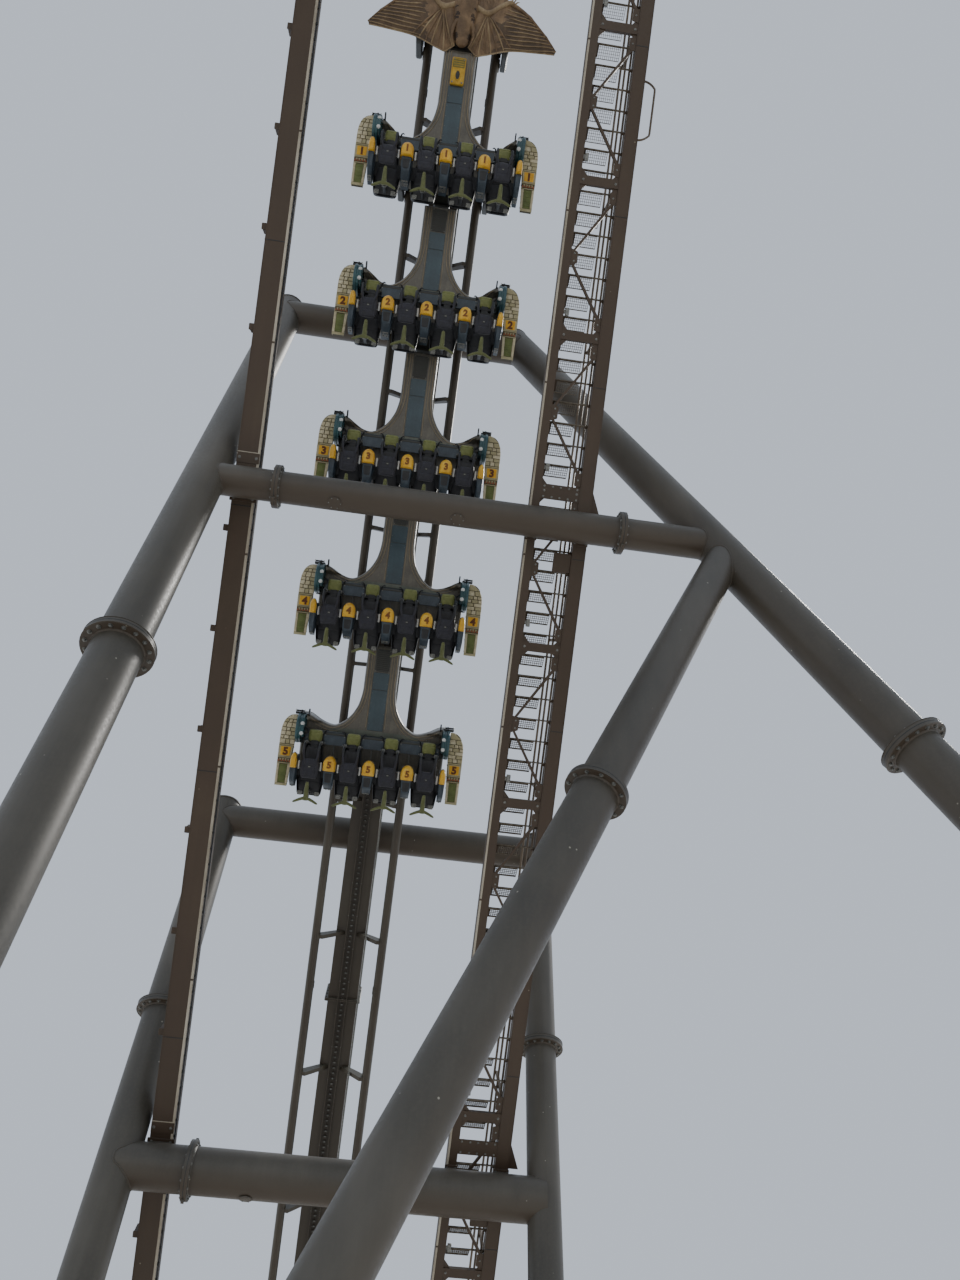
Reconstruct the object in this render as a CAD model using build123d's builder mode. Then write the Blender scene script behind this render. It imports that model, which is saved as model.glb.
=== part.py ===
from build123d import *
import math
import os

os.makedirs("parts", exist_ok=True)

# ---------------------------------------------------------------- dimensions
# Row frame: +X uphill (horizontal), +Y towards the stair side, +Z up, z = 0 at
# the ground. All lengths in millimetres.
LIFT_ANGLE = 39.0          # slope of the lift track
RAIL_X0 = 1294.18          # rail datum point (a = 0, n = 0)
RAIL_Z0 = 15990.0
TRACK_Y = -4885.0          # track centre line

RAIL_R = 77.5              # running rail radius
GAUGE_HALF = 625.0         # half the distance between rail axes
TRACK_LOW, TRACK_HIGH = -19500.0, 16500.0

SPINE_W, SPINE_N0, SPINE_N1 = 550.0, 330.0, 960.0
TIE_PITCH = 2545.0
TIE_FIRST = -19065.0
TIE_COUNT = 14

BENT_X = [RAIL_X0 + v for v in (11140.0, 3340.0, -4460.0, -12260.0)]   # uphill to downhill
TOP_RISE = 1690.0          # top beam axis above the rail axis
LOW_DROP = [4750.0, 4750.0, 4790.0, 4790.0]   # lower beam axis below the rail axis
COL_R = 305.0              # main column tube radius
THIN_COL_R = 255.0
TOP_BEAM_R = 305.0
LOW_BEAM_R = [235.0, 235.0, 318.0, 318.0]
BRACE_R = 260.0
LEFT_Y = -2830.0           # left column axis from the track centre
RAKE_TOP_Y = 1870.0        # raked leg axis at the top beam
RAKE_FOOT_Y = [12600.0, 11200.0]
RIGHT_Y = 3470.0           # vertical right column axis
BRACE_FOOT_Y = -1300.0
BRACE_DROP = 250.0
FLANGE_R, FLANGE_T = 420.0, 100.0
SPLICE_Z = 10000.0         # column splice height

PLATE_T = 50.0
COL_PLATE_R, COL_PCD, COL_BOLT_R = 500.0, 860.0, 20.0
SMALL_PLATE_R, SMALL_PCD, SMALL_BOLT_R = 400.0, 680.0, 16.0

BEAM_N0, BEAM_H = -3392.0, 300.0
SERVICE_Y, SERVICE_W = -2300.0, 340.0
SERVICE_LOW, SERVICE_HIGH = -19000.0, 14000.0
PEG_PITCH = 1520.0

STAIR_HIGH = 14200.0
STAIR_LOW = -23600.0
INNER_Y0, INNER_Y1 = 1975.0, 2130.0
OUTER_Y0, OUTER_Y1 = 2720.0, 2930.0
STAIR_H = 200.0
TREAD_PITCH = 327.0
FRAME_PITCH = 2400.0
RAIL_POST_H = 1050.0

ROW_A = [7560.0, 4935.0, 2310.0, -315.0, -2940.0]   # rows from the front
SEAT_PITCH = 660.0
ROW_HALF = 1550.0
FAIR_N0, FAIR_N1 = -880.0, -600.0
PIVOT_A, PIVOT_N = 450.0, -1040.0
PIVOT_R = 45.0

CA = math.cos(math.radians(LIFT_ANGLE))
SA = math.sin(math.radians(LIFT_ANGLE))
TA = math.tan(math.radians(LIFT_ANGLE))


def track_point(a, y, n):
    """Row-frame point of track coordinates: a uphill, y across, n normal."""
    return (RAIL_X0 + a * CA - n * SA, TRACK_Y + y, RAIL_Z0 + a * SA + n * CA)


def track_plane(a, y, n):
    """Plane parallel to the track: local x uphill, local y across."""
    return Plane(origin=track_point(a, y, n), x_dir=(CA, 0, SA), z_dir=(-SA, 0, CA))


def cross_plane(a, y, n):
    """Plane across the track: local x across (+Y), local y along the normal."""
    return Plane(origin=track_point(a, y, n), x_dir=(0, 1, 0), z_dir=(CA, 0, SA))


def side_plane(a, y, n):
    """Plane along the track and normal to it: local x uphill, local y normal."""
    return Plane(origin=track_point(a, y, n), x_dir=(CA, 0, SA), z_dir=(0, -1, 0))


def tube_plane(start, end):
    """Plane at start, normal towards end."""
    d = Vector(*end) - Vector(*start)
    x = Vector(1, 0, 0) if abs(d.normalized().X) < 0.9 else Vector(0, 1, 0)
    return Plane(origin=start, x_dir=x, z_dir=d)


def tube(start, end, radius):
    """Free cylinder between two points, used to trim and to join tubes."""
    d = Vector(*end) - Vector(*start)
    return tube_plane(start, end) * Cylinder(
        radius, d.length, align=(Align.CENTER, Align.CENTER, Align.MIN), mode=Mode.PRIVATE
    )


def rail_z(x):
    return RAIL_Z0 + (x - RAIL_X0) * TA


BENTS = []
for i, bx in enumerate(BENT_X):
    top_z = rail_z(bx) + TOP_RISE
    low_z = rail_z(bx) - LOW_DROP[i]
    if i < 2:
        slope = (RAKE_FOOT_Y[i] - RAKE_TOP_Y) / top_z
        right_low = RAKE_TOP_Y + slope * (top_z - low_z)
        right_top, right_foot = RAKE_TOP_Y, RAKE_FOOT_Y[i]
        right_r = COL_R
    else:
        slope = 0.0
        right_low = right_top = right_foot = RIGHT_Y
        right_r = THIN_COL_R
    BENTS.append(
        dict(x=bx, top=top_z, low=low_z, slope=slope, yt=right_top, yl=right_low,
             yf=right_foot, r=right_r, lr=LOW_BEAM_R[i], drop=LOW_DROP[i])
    )


def left_axis(b, grow=0.0):
    return tube((b["x"], TRACK_Y + LEFT_Y, -200), (b["x"], TRACK_Y + LEFT_Y, b["top"] + 900), COL_R + grow)


def right_axis(b, grow=0.0):
    k = b["slope"]
    return tube(
        (b["x"], TRACK_Y + b["yf"] + k * 400, -400),
        (b["x"], TRACK_Y + b["yt"] - k * 900, b["top"] + 900),
        b["r"] + grow,
    )


# ------------------------------------------------------------------- columns
for i, b in enumerate(BENTS):
    number = i + 1
    # left column: vertical tube, capped above the top beam, with its splice
    # flanges and a round foot plate with anchor holes
    with BuildPart() as left_column:
        with BuildSketch(Plane((b["x"], TRACK_Y + LEFT_Y, 0))):
            Circle(COL_R)
        extrude(amount=b["top"] + TOP_BEAM_R + 60)
        with BuildSketch(Plane((b["x"], TRACK_Y + LEFT_Y, 0))):
            Circle(COL_PLATE_R)
            with PolarLocations(COL_PCD / 2, 8):
                Circle(COL_BOLT_R, mode=Mode.SUBTRACT)
        extrude(amount=PLATE_T)
        splices = [z for z in (SPLICE_Z, 19000.0) if z < b["top"] - 2500]
        for z in splices:
            with BuildSketch(Plane((b["x"], TRACK_Y + LEFT_Y, z - FLANGE_T / 2))):
                Circle(FLANGE_R)
            extrude(amount=FLANGE_T)
    left_column.part.label = f"left_column_{number}"
    export_step(left_column.part, f"parts/left_column_{number}.step")

    k = b["slope"]
    foot = (b["x"], TRACK_Y + b["yf"], 0)
    head = (b["x"], TRACK_Y + b["yt"], b["top"])
    # right leg: raked outwards on the tall bents, vertical on the low ones
    with BuildPart() as right_leg:
        with BuildSketch(tube_plane((b["x"], TRACK_Y + b["yf"] + k * 400, -400), head)):
            Circle(b["r"])
        extrude(amount=math.hypot(1, k) * (b["top"] + 400) + TOP_BEAM_R + 60)
        for z in splices:
            at = (b["x"], TRACK_Y + b["yf"] - k * z, z)
            with BuildSketch(tube_plane(at, head).offset(-FLANGE_T / 2)):
                Circle(b["r"] + 115)
            extrude(amount=FLANGE_T)
        split(bisect_by=Plane.XY, keep=Keep.TOP)
        with BuildSketch(Plane(foot)):
            Circle(COL_PLATE_R)
            with PolarLocations(COL_PCD / 2, 8):
                Circle(COL_BOLT_R, mode=Mode.SUBTRACT)
        extrude(amount=PLATE_T)
    leg_name = f"raked_leg_{number}" if i < 2 else f"right_column_{number}"
    right_leg.part.label = leg_name
    export_step(right_leg.part, f"parts/{leg_name}.step")

# --------------------------------------------------------------- cross beams
with BuildPart() as top_beams:
    for b in BENTS:
        start = (b["x"], TRACK_Y + LEFT_Y, b["top"])
        end = (b["x"], TRACK_Y + b["yt"], b["top"])
        with BuildSketch(tube_plane(start, end)):
            Circle(TOP_BEAM_R)
        extrude(amount=b["yt"] - LEFT_Y)
    for b in BENTS:
        add(left_axis(b, 0.4), mode=Mode.SUBTRACT)
        add(right_axis(b, 0.4), mode=Mode.SUBTRACT)
top_beams.part.label = "top_beams"
export_step(top_beams.part, "parts/top_beams.step")

with BuildPart() as lower_beams:
    for b in BENTS:
        start = (b["x"], TRACK_Y + LEFT_Y, b["low"])
        end = (b["x"], TRACK_Y + b["yl"], b["low"])
        with BuildSketch(tube_plane(start, end)):
            Circle(b["lr"])
        extrude(amount=b["yl"] - LEFT_Y)
        for y in (-1770, 3360):
            if b["slope"] == 0 and y > 0:
                continue
            at = (b["x"], TRACK_Y + y - 45, b["low"])
            with BuildSketch(tube_plane(at, end)):
                Circle(b["lr"] + 85)
            extrude(amount=90)
    for b in BENTS:
        add(left_axis(b, 0.4), mode=Mode.SUBTRACT)
        add(right_axis(b, 0.4), mode=Mode.SUBTRACT)
lower_beams.part.label = "lower_beams"
export_step(lower_beams.part, "parts/lower_beams.step")

# inner diagonals of the two raked bents, from the lower node to their own feet
with BuildPart() as diagonal_braces:
    for b in BENTS[:2]:
        end_z = b["low"] - BRACE_DROP
        end_y = b["yl"] + b["slope"] * BRACE_DROP
        k = (end_y - BRACE_FOOT_Y) / end_z
        node = (b["x"], TRACK_Y + end_y, end_z)
        start = (b["x"], TRACK_Y + BRACE_FOOT_Y - k * 300, -300)
        with BuildSketch(tube_plane(start, node)):
            Circle(BRACE_R)
        extrude(amount=math.hypot(1, k) * (end_z + 300))
        z = SPLICE_Z if b["low"] > SPLICE_Z + 5000 else 8600
        at = (b["x"], TRACK_Y + BRACE_FOOT_Y + k * z, z)
        with BuildSketch(tube_plane(at, node)):
            Circle(BRACE_R + 90)
        extrude(amount=90)
    split(bisect_by=Plane.XY, keep=Keep.TOP)
    for b in BENTS[:2]:
        with BuildSketch(Plane((b["x"], TRACK_Y + BRACE_FOOT_Y, 0))):
            Circle(SMALL_PLATE_R)
            with PolarLocations(SMALL_PCD / 2, 6):
                Circle(SMALL_BOLT_R, mode=Mode.SUBTRACT)
        extrude(amount=PLATE_T)
    for b in BENTS[:2]:
        add(right_axis(b, 0.4), mode=Mode.SUBTRACT)
        add(
            tube((b["x"], TRACK_Y, b["low"]), (b["x"], TRACK_Y + b["yl"] + 400, b["low"]), b["lr"] + 0.4),
            mode=Mode.SUBTRACT,
        )
diagonal_braces.part.label = "diagonal_braces"
export_step(diagonal_braces.part, "parts/diagonal_braces.step")

# --------------------------------------------------------------------- track
LENGTH = TRACK_HIGH - TRACK_LOW
for name, y in (("left_rail", -GAUGE_HALF), ("right_rail", GAUGE_HALF)):
    with BuildPart() as rail:
        with BuildSketch(cross_plane(TRACK_LOW, y, 0)):
            Circle(RAIL_R)
        extrude(amount=LENGTH)
    rail.part.label = name
    export_step(rail.part, f"parts/{name}.step")

with BuildPart() as track_spine:
    with BuildSketch(cross_plane(TRACK_LOW, 0, (SPINE_N0 + SPINE_N1) / 2)):
        Rectangle(SPINE_W, SPINE_N1 - SPINE_N0)
    extrude(amount=LENGTH)
track_spine.part.label = "track_spine"
export_step(track_spine.part, "parts/track_spine.step")

# ties: a pair of plate arms from the spine down to the rails at each station
with BuildPart() as rail_ties:
    for s in (-1, 1):
        with BuildSketch(*[cross_plane(TIE_FIRST + j * TIE_PITCH - 35, 0, 0) for j in range(TIE_COUNT)]):
            with BuildLine():
                Polyline(
                    (s * 110, 330), (s * 272, 330), (s * 600, 60),
                    (s * 600, -45), (s * 500, -70), close=True,
                )
            make_face()
        extrude(amount=70)
    for y in (-GAUGE_HALF, GAUGE_HALF):
        add(
            tube(track_point(TRACK_LOW - 500, y, 0), track_point(TRACK_HIGH + 500, y, 0), RAIL_R + 0.3),
            mode=Mode.SUBTRACT,
        )
rail_ties.part.label = "rail_ties"
export_step(rail_ties.part, "parts/rail_ties.step")

# saddles between the spine and the top beams
with BuildPart() as spine_saddles:
    for b in BENTS:
        sa = (b["x"] - RAIL_X0) / CA + TOP_RISE * SA
        with BuildSketch(track_plane(sa, 0, SPINE_N1)):
            Rectangle(760, 500)
        extrude(amount=TOP_RISE * CA - SPINE_N1 + 60)
    for b in BENTS:
        add(
            tube((b["x"], TRACK_Y - 1500, b["top"]), (b["x"], TRACK_Y + 1500, b["top"]), TOP_BEAM_R + 0.4),
            mode=Mode.SUBTRACT,
        )
spine_saddles.part.label = "spine_saddles"
export_step(spine_saddles.part, "parts/spine_saddles.step")

# chain trough: a channel under the spine that opens downwards
with BuildPart() as chain_trough:
    with BuildSketch(cross_plane(TRACK_LOW + 300, 0, 0)):
        with BuildLine():
            Polyline(
                (-90, 330), (90, 330), (90, 230), (72, 230), (72, 312),
                (-72, 312), (-72, 230), (-90, 230), close=True,
            )
        make_face()
    extrude(amount=LENGTH - 600)
chain_trough.part.label = "chain_trough"
export_step(chain_trough.part, "parts/chain_trough.step")

with BuildPart() as lift_chain:
    with BuildSketch(cross_plane(TRACK_LOW + 400, 0, 287)):
        Rectangle(70, 50)
    extrude(amount=LENGTH - 800)
lift_chain.part.label = "lift_chain"
export_step(lift_chain.part, "parts/lift_chain.step")

# thin line inside the right arms of the ties
with BuildPart() as side_conduit:
    with BuildSketch(cross_plane(TRACK_LOW + 300, 300, 90)):
        Circle(16)
    extrude(amount=LENGTH - 600)
side_conduit.part.label = "side_conduit"
export_step(side_conduit.part, "parts/side_conduit.step")

# -------------------------------------------------------------- service beam
with BuildPart() as service_beam:
    with BuildSketch(cross_plane(SERVICE_LOW, SERVICE_Y, BEAM_N0 + BEAM_H / 2)):
        Rectangle(SERVICE_W, BEAM_H)
    extrude(amount=SERVICE_HIGH - SERVICE_LOW)
service_beam.part.label = "service_beam"
export_step(service_beam.part, "parts/service_beam.step")

PEG_A = [8249 - PEG_PITCH * j for j in range(-3, 18)]
CROSSINGS = [(b["x"] - RAIL_X0) / CA - 2700 for b in BENTS]
PEG_A = [at for at in PEG_A if min(abs(at - c) for c in CROSSINGS) > 700]
with BuildPart() as beam_pegs:
    with BuildSketch(*[track_plane(at, SERVICE_Y - SERVICE_W / 2 - 35, BEAM_N0 + 60) for at in PEG_A]):
        Rectangle(70, 70)
    extrude(amount=200)
beam_pegs.part.label = "beam_pegs"
export_step(beam_pegs.part, "parts/beam_pegs.step")

# ------------------------------------------------------------------ seatings
with BuildPart() as beam_seats:
    for b in BENTS:
        at = (b["x"] - RAIL_X0) / CA - b["drop"] * SA
        bottom = -b["drop"] * CA
        for y, w in ((SERVICE_Y, SERVICE_W - 40), ((INNER_Y0 + INNER_Y1) / 2, 135), ((OUTER_Y0 + OUTER_Y1) / 2, 190)):
            with BuildSketch(track_plane(at, y, bottom)):
                Rectangle(420, w)
            extrude(amount=BEAM_N0 - bottom)
    for b in BENTS:
        add(
            tube((b["x"], TRACK_Y + LEFT_Y, b["low"]), (b["x"], TRACK_Y + 3400, b["low"]), b["lr"] + 0.4),
            mode=Mode.SUBTRACT,
        )
beam_seats.part.label = "beam_seats"
export_step(beam_seats.part, "parts/beam_seats.step")

# --------------------------------------------------------------------- stair
for name, y0, y1 in (("stair_inner_stringer", INNER_Y0, INNER_Y1), ("stair_outer_stringer", OUTER_Y0, OUTER_Y1)):
    with BuildPart() as stringer:
        with BuildSketch(cross_plane(STAIR_LOW, (y0 + y1) / 2, BEAM_N0 + STAIR_H / 2)):
            Rectangle(y1 - y0, STAIR_H)
        extrude(amount=STAIR_HIGH - STAIR_LOW)
        split(bisect_by=Plane.XY, keep=Keep.TOP)
    stringer.part.label = name
    export_step(stringer.part, f"parts/{name}.step")

FRAME_A = [13845 - FRAME_PITCH * j for j in range(15)]
# cross frames and K bracing between the stringers, at their lower face
with BuildPart() as stair_bracing:
    with BuildSketch(*[track_plane(at, (INNER_Y1 + OUTER_Y0) / 2, BEAM_N0 + 5) for at in FRAME_A]):
        Rectangle(140, OUTER_Y0 - INNER_Y1)
    extrude(amount=60)
    for s in (-1, 1):
        with BuildSketch(*[track_plane(at - FRAME_PITCH / 2, 0, BEAM_N0 + 15) for at in FRAME_A[:-1]]):
            with BuildLine():
                Polyline(
                    (s * 6, INNER_Y1), (s * 70, INNER_Y1),
                    (s * (FRAME_PITCH / 2 - 180), OUTER_Y0),
                    (s * (FRAME_PITCH / 2 - 260), OUTER_Y0), close=True,
                )
            make_face()
        extrude(amount=40)
stair_bracing.part.label = "stair_bracing"
export_step(stair_bracing.part, "parts/stair_bracing.step")

# treads: level boards from the inner stringer to the handrail, each with a bar on to the outer one
TREAD_Y1 = 2510.0
TREADS = []
at = STAIR_HIGH - 250
while track_point(at, 0, BEAM_N0 + 150)[2] > 120:
    TREADS.append(at)
    at -= TREAD_PITCH
with BuildPart() as stair_treads:
    with BuildSketch(*[Plane(track_point(at, (INNER_Y1 + TREAD_Y1) / 2, BEAM_N0 + 150)) for at in TREADS]):
        Rectangle(215, TREAD_Y1 - INNER_Y1)
    extrude(amount=28)
    with BuildSketch(*[Plane(track_point(at, (INNER_Y1 + OUTER_Y0) / 2, BEAM_N0 + 150)) for at in TREADS]):
        with Locations((92.5, 0)):
            Rectangle(30, OUTER_Y0 - INNER_Y1)
    extrude(amount=28)
stair_treads.part.label = "stair_treads"
export_step(stair_treads.part, "parts/stair_treads.step")

# handrail: posts on the outer stringer's inner edge, three rails on their inner side
RAIL_Y = 2702.0
POST_A = [at + 160 for at in FRAME_A]
with BuildPart() as stair_handrail:
    with BuildSketch(*[track_plane(at, OUTER_Y0 + 25, BEAM_N0 + STAIR_H) for at in POST_A]):
        Rectangle(50, 50)
    extrude(amount=RAIL_POST_H)
    for n in (30, 525, 1020):
        with BuildSketch(cross_plane(POST_A[-1] - 160, RAIL_Y, BEAM_N0 + STAIR_H + n)):
            Rectangle(38, 38)
        extrude(amount=POST_A[0] - POST_A[-1] + 320)
stair_handrail.part.label = "stair_handrail"
export_step(stair_handrail.part, "parts/stair_handrail.step")

# --------------------------------------------------------------------- train
# Row fairing outline in (a, y), half, from the neck's top down to the tail.
for r, ra in enumerate(ROW_A):
    number = r + 1
    neck_top = 2265.0 if r == 0 else 2080.0
    with BuildPart() as fairing:
        with BuildSketch(track_plane(ra, 0, FAIR_N0)):
            with BuildLine():
                l1 = Polyline(
                    (neck_top, -290), (neck_top, 290), (1300, 290), (1080, 320), (900, 385),
                    (760, 475), (650, 590), (585, 720), (600, 850), (660, 1000), (730, 1120),
                    (760, 1200), (760, 1270), (-430, 1270), (-430, -1270), (760, -1270),
                    (760, -1200), (730, -1120), (660, -1000), (600, -850), (585, -720),
                    (650, -590), (760, -475), (900, -385), (1080, -320), (1300, -290), close=True,
                )
            make_face()
        extrude(amount=FAIR_N1 - FAIR_N0)
        # wing ends droop towards the end posts
        for s in (-1, 1):
            with BuildSketch(cross_plane(ra + 620, 0, 0)):
                with BuildLine():
                    Polyline((s * 850, -879), (s * 1185, -1080), (s * 1185, -879), close=True)
                make_face()
            extrude(amount=41)
            with BuildSketch(cross_plane(ra + 660, 0, 0)):
                with BuildLine():
                    Polyline((s * 1000, -879), (s * 1000, -1003), (s * 1185, -1080), (s * 1185, -879), close=True)
                make_face()
            extrude(amount=90)
        # backbone tube under the rails along the row
        with BuildSketch(track_plane(ra + 800, 0, FAIR_N1)):
            Rectangle(2450, 300)
        extrude(amount=180)
    fairing.part.label = f"row_{number}_fairing"
    export_step(fairing.part, f"parts/row_{number}_fairing.step")

# side panels beside the outer seats, held by the end posts
with BuildPart() as side_pods:
    for ra in ROW_A:
        for s in (-1, 1):
            with BuildSketch(track_plane(ra, 0, -1155)):
                with BuildLine():
                    Polyline(
                        (730, s * 1330.3), (725, s * 1405), (695, s * 1475), (640, s * 1525),
                        (560, s * 1558), (460, s * 1575), (300, s * 1580), (-525, s * 1580),
                        (-525, s * 1378), (240, s * 1330.3), close=True,
                    )
                make_face()
            extrude(amount=110)
side_pods.part.label = "side_pods"
export_step(side_pods.part, "parts/side_pods.step")

# end posts with the seat pivot bearings, between the panels and the wing ends
with BuildPart() as pivot_posts:
    for ra in ROW_A:
        for s in (-1, 1):
            with BuildSketch(side_plane(ra, s * 1260 + 70, 0)):
                with BuildLine():
                    Polyline(
                        (760, -880.3), (760, -1130), (690, -1280), (600, -1350), (440, -1370),
                        (340, -1330), (250, -1180), (220, -880.3), close=True,
                    )
                make_face()
            extrude(amount=140)
            with BuildSketch(side_plane(ra + PIVOT_A, s * 1260 + 90, PIVOT_N)):
                Circle(PIVOT_R + 1.0)
            extrude(amount=180, mode=Mode.SUBTRACT)
pivot_posts.part.label = "pivot_posts"
export_step(pivot_posts.part, "parts/pivot_posts.step")

# seats: a shell for each rider on one cross tube, dividers with domed caps
for r, ra in enumerate(ROW_A):
    number = r + 1
    with BuildPart() as seats:
        # cross tube through the bearings
        start = track_point(ra + PIVOT_A, -1325, PIVOT_N)
        end = track_point(ra + PIVOT_A, 1325, PIVOT_N)
        add(tube(start, end, PIVOT_R))
        # back shells
        for c in (-1.5, -0.5, 0.5, 1.5):
            y = c * SEAT_PITCH
            with BuildSketch(track_plane(ra, y, -1190)):
                with BuildLine():
                    Polyline(
                        (505, -100), (505, 100), (300, 165), (-40, 170), (-260, 240), (-640, 200),
                        (-640, -200), (-260, -240), (-40, -170), (300, -165), close=True,
                    )
                make_face()
            extrude(amount=110)
        with BuildSketch(track_plane(ra + 365, 0, -1081)):
            Rectangle(190, 2200)
        extrude(amount=86)
        # dividers with domed caps
        for c in (-2, -1, 0, 1, 2):
            y = c * SEAT_PITCH if abs(c) < 2 else math.copysign(1265, c)
            w = 150 if abs(c) < 2 else 110
            with BuildSketch(side_plane(ra, y + w / 2, 0)):
                with BuildLine():
                    Polyline(
                        (70, -1170), (60, -1600), (-330, -1590), (-450, -1420), (-500, -1170), close=True
                    )
                make_face()
            extrude(amount=w)
            cw = 110 if abs(c) < 2 else 55
            with BuildSketch(track_plane(ra, y, -1680)):
                with BuildLine():
                    Polyline(
                        (125, -cw * 0.35), (125, cw * 0.35), (80, cw * 0.8), (-20, cw), (-125, cw),
                        (-125, -cw), (-20, -cw), (80, -cw * 0.8), close=True,
                    )
                make_face()
            extrude(amount=210)
        # link boards behind the seats carry the dividers
        with BuildSketch(track_plane(ra - 200, 0, -1185)):
            Rectangle(240, 2500)
        extrude(amount=85)
        # shin rests: a bar between the legs that forks to both sides
        for c in (-1.5, -0.5, 0.5, 1.5):
            y = c * SEAT_PITCH
            with BuildSketch(track_plane(ra, y, -1630)):
                with BuildLine():
                    Polyline(
                        (-345, -38), (-345, 38), (-565, 60), (-635, 225), (-705, 210), (-655, 0),
                        (-705, -210), (-635, -225), (-565, -60), close=True,
                    )
                make_face()
            extrude(amount=70)
            with BuildSketch(track_plane(ra - 560, y, -1565)):
                Rectangle(120, 60)
            extrude(amount=385)
    seats.part.label = f"row_{number}_seats"
    export_step(seats.part, f"parts/row_{number}_seats.step")

    # restraints: a vest with two shoulder arms and hand grips for each rider
    with BuildPart() as restraints:
        for c in (-1.5, -0.5, 0.5, 1.5):
            y = c * SEAT_PITCH
            with BuildSketch(track_plane(ra, y, -1600)):
                with BuildLine():
                    Polyline(
                        (60, -150), (60, 150), (-60, 185), (-290, 150), (-290, -150), (-60, -185), close=True,
                    )
                make_face()
            extrude(amount=70)
            for s in (-1, 1):
                with BuildSketch(track_plane(ra + 175, y + s * 125, -1600)):
                    Rectangle(290, 50)
                extrude(amount=70)
                with BuildSketch(track_plane(ra + 296, y + s * 125, -1530)):
                    Rectangle(48, 50)
                extrude(amount=320)
                with BuildSketch(side_plane(ra + 296, y + s * 125 + 25, -1260)):
                    Circle(32)
                extrude(amount=50)
                with BuildSketch(track_plane(ra - 70, y + s * 186, -1560)):
                    Rectangle(150, 34)
                extrude(amount=34)
    restraints.part.label = f"row_{number}_restraints"
    export_step(restraints.part, f"parts/row_{number}_restraints.step")

# wheel carriers: a cross member under the rails with a cheek outside each rail
CARRIER_A = [ra + 150 for ra in ROW_A] + [10430.0]
with BuildPart() as wheel_carriers:
    for at in CARRIER_A:
        with BuildSketch(track_plane(at, 0, -420)):
            Rectangle(420, 1700)
        extrude(amount=140)
        for s in (-1, 1):
            with BuildSketch(side_plane(at, s * 795 + 55, 0)):
                with BuildLine():
                    Polyline(
                        (-210, -420), (210, -420), (260, -300), (260, 200), (180, 300),
                        (-180, 300), (-260, 200), (-260, -300), close=True,
                    )
                make_face()
            extrude(amount=110)
wheel_carriers.part.label = "wheel_carriers"
export_step(wheel_carriers.part, "parts/wheel_carriers.step")

# wheels: two road wheels above and one up-stop wheel below each rail
with BuildPart() as train_wheels:
    for at in CARRIER_A:
        for s in (-1, 1):
            for da in (-135, 135):
                with BuildSketch(side_plane(at + da, s * 670 + 70, RAIL_R + 5 + 115)):
                    Circle(115)
                extrude(amount=140)
            with BuildSketch(side_plane(at, s * 670 + 70, -RAIL_R - 5 - 70)):
                Circle(70)
            extrude(amount=140)
train_wheels.part.label = "train_wheels"
export_step(train_wheels.part, "parts/train_wheels.step")

# lead frame: carries the figurehead and its wheel carrier
with BuildPart() as lead_frame:
    with BuildSketch(track_plane(10900, 0, FAIR_N0 + 90)):
        Rectangle(2100, 420)
    extrude(amount=370)
lead_frame.part.label = "lead_frame"
export_step(lead_frame.part, "parts/lead_frame.step")

with BuildPart() as coupler_plate:
    with BuildSketch(track_plane(9416, 0, FAIR_N0 - 60)):
        RectangleRounded(490, 250, 30)
    extrude(amount=60)
coupler_plate.part.label = "coupler_plate"
export_step(coupler_plate.part, "parts/coupler_plate.step")

# figurehead: a flying reptile with spread wings, tail downhill, beak uphill
WING_HALF = [
    (9860, 150), (9840, 300), (9745, 320), (9790, 450), (9850, 620),
    (9920, 790), (9950, 1000), (9970, 1240), (9985, 1530), (9990, 1690),
    (10055, 1700), (10170, 1610), (10290, 1505), (10440, 1335), (10590, 1165),
    (10700, 1000), (10770, 840), (10860, 660), (10920, 500), (10960, 340),
    (10980, 200),
]
BODY_HALF = [
    (9840, 160), (10200, 195), (10600, 215), (10850, 190), (10980, 110),
    (11250, 95), (11380, 130), (11560, 140), (11700, 100), (12200, 30),
]
with BuildPart() as figurehead:
    with BuildSketch(track_plane(0, 0, -960)):
        with BuildLine():
            Polyline(*WING_HALF, *[(a, -y) for a, y in reversed(WING_HALF)], close=True)
        make_face()
    extrude(amount=130)
    with BuildSketch(track_plane(0, 0, -1130)):
        with BuildLine():
            Polyline(*BODY_HALF, *[(a, -y) for a, y in reversed(BODY_HALF)], close=True)
        make_face()
    extrude(amount=340)
figurehead.part.label = "figurehead"
export_step(figurehead.part, "parts/figurehead.step")
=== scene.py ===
import bpy
import bmesh
import math
import random
from mathutils import Matrix, Vector


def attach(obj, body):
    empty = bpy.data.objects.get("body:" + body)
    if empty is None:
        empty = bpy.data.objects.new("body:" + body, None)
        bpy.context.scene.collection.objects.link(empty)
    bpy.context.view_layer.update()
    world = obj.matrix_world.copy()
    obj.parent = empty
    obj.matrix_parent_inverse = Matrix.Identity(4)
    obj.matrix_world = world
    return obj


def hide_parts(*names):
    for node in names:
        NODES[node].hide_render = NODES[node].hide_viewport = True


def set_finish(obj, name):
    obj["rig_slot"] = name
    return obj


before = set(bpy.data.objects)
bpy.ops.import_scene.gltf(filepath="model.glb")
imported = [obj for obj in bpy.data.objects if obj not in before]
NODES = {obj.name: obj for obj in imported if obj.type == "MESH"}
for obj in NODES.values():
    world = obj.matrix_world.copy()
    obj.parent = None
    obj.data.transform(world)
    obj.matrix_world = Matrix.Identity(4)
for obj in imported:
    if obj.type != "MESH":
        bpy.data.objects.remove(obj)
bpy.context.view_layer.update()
rnd = random.Random(7)

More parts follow.
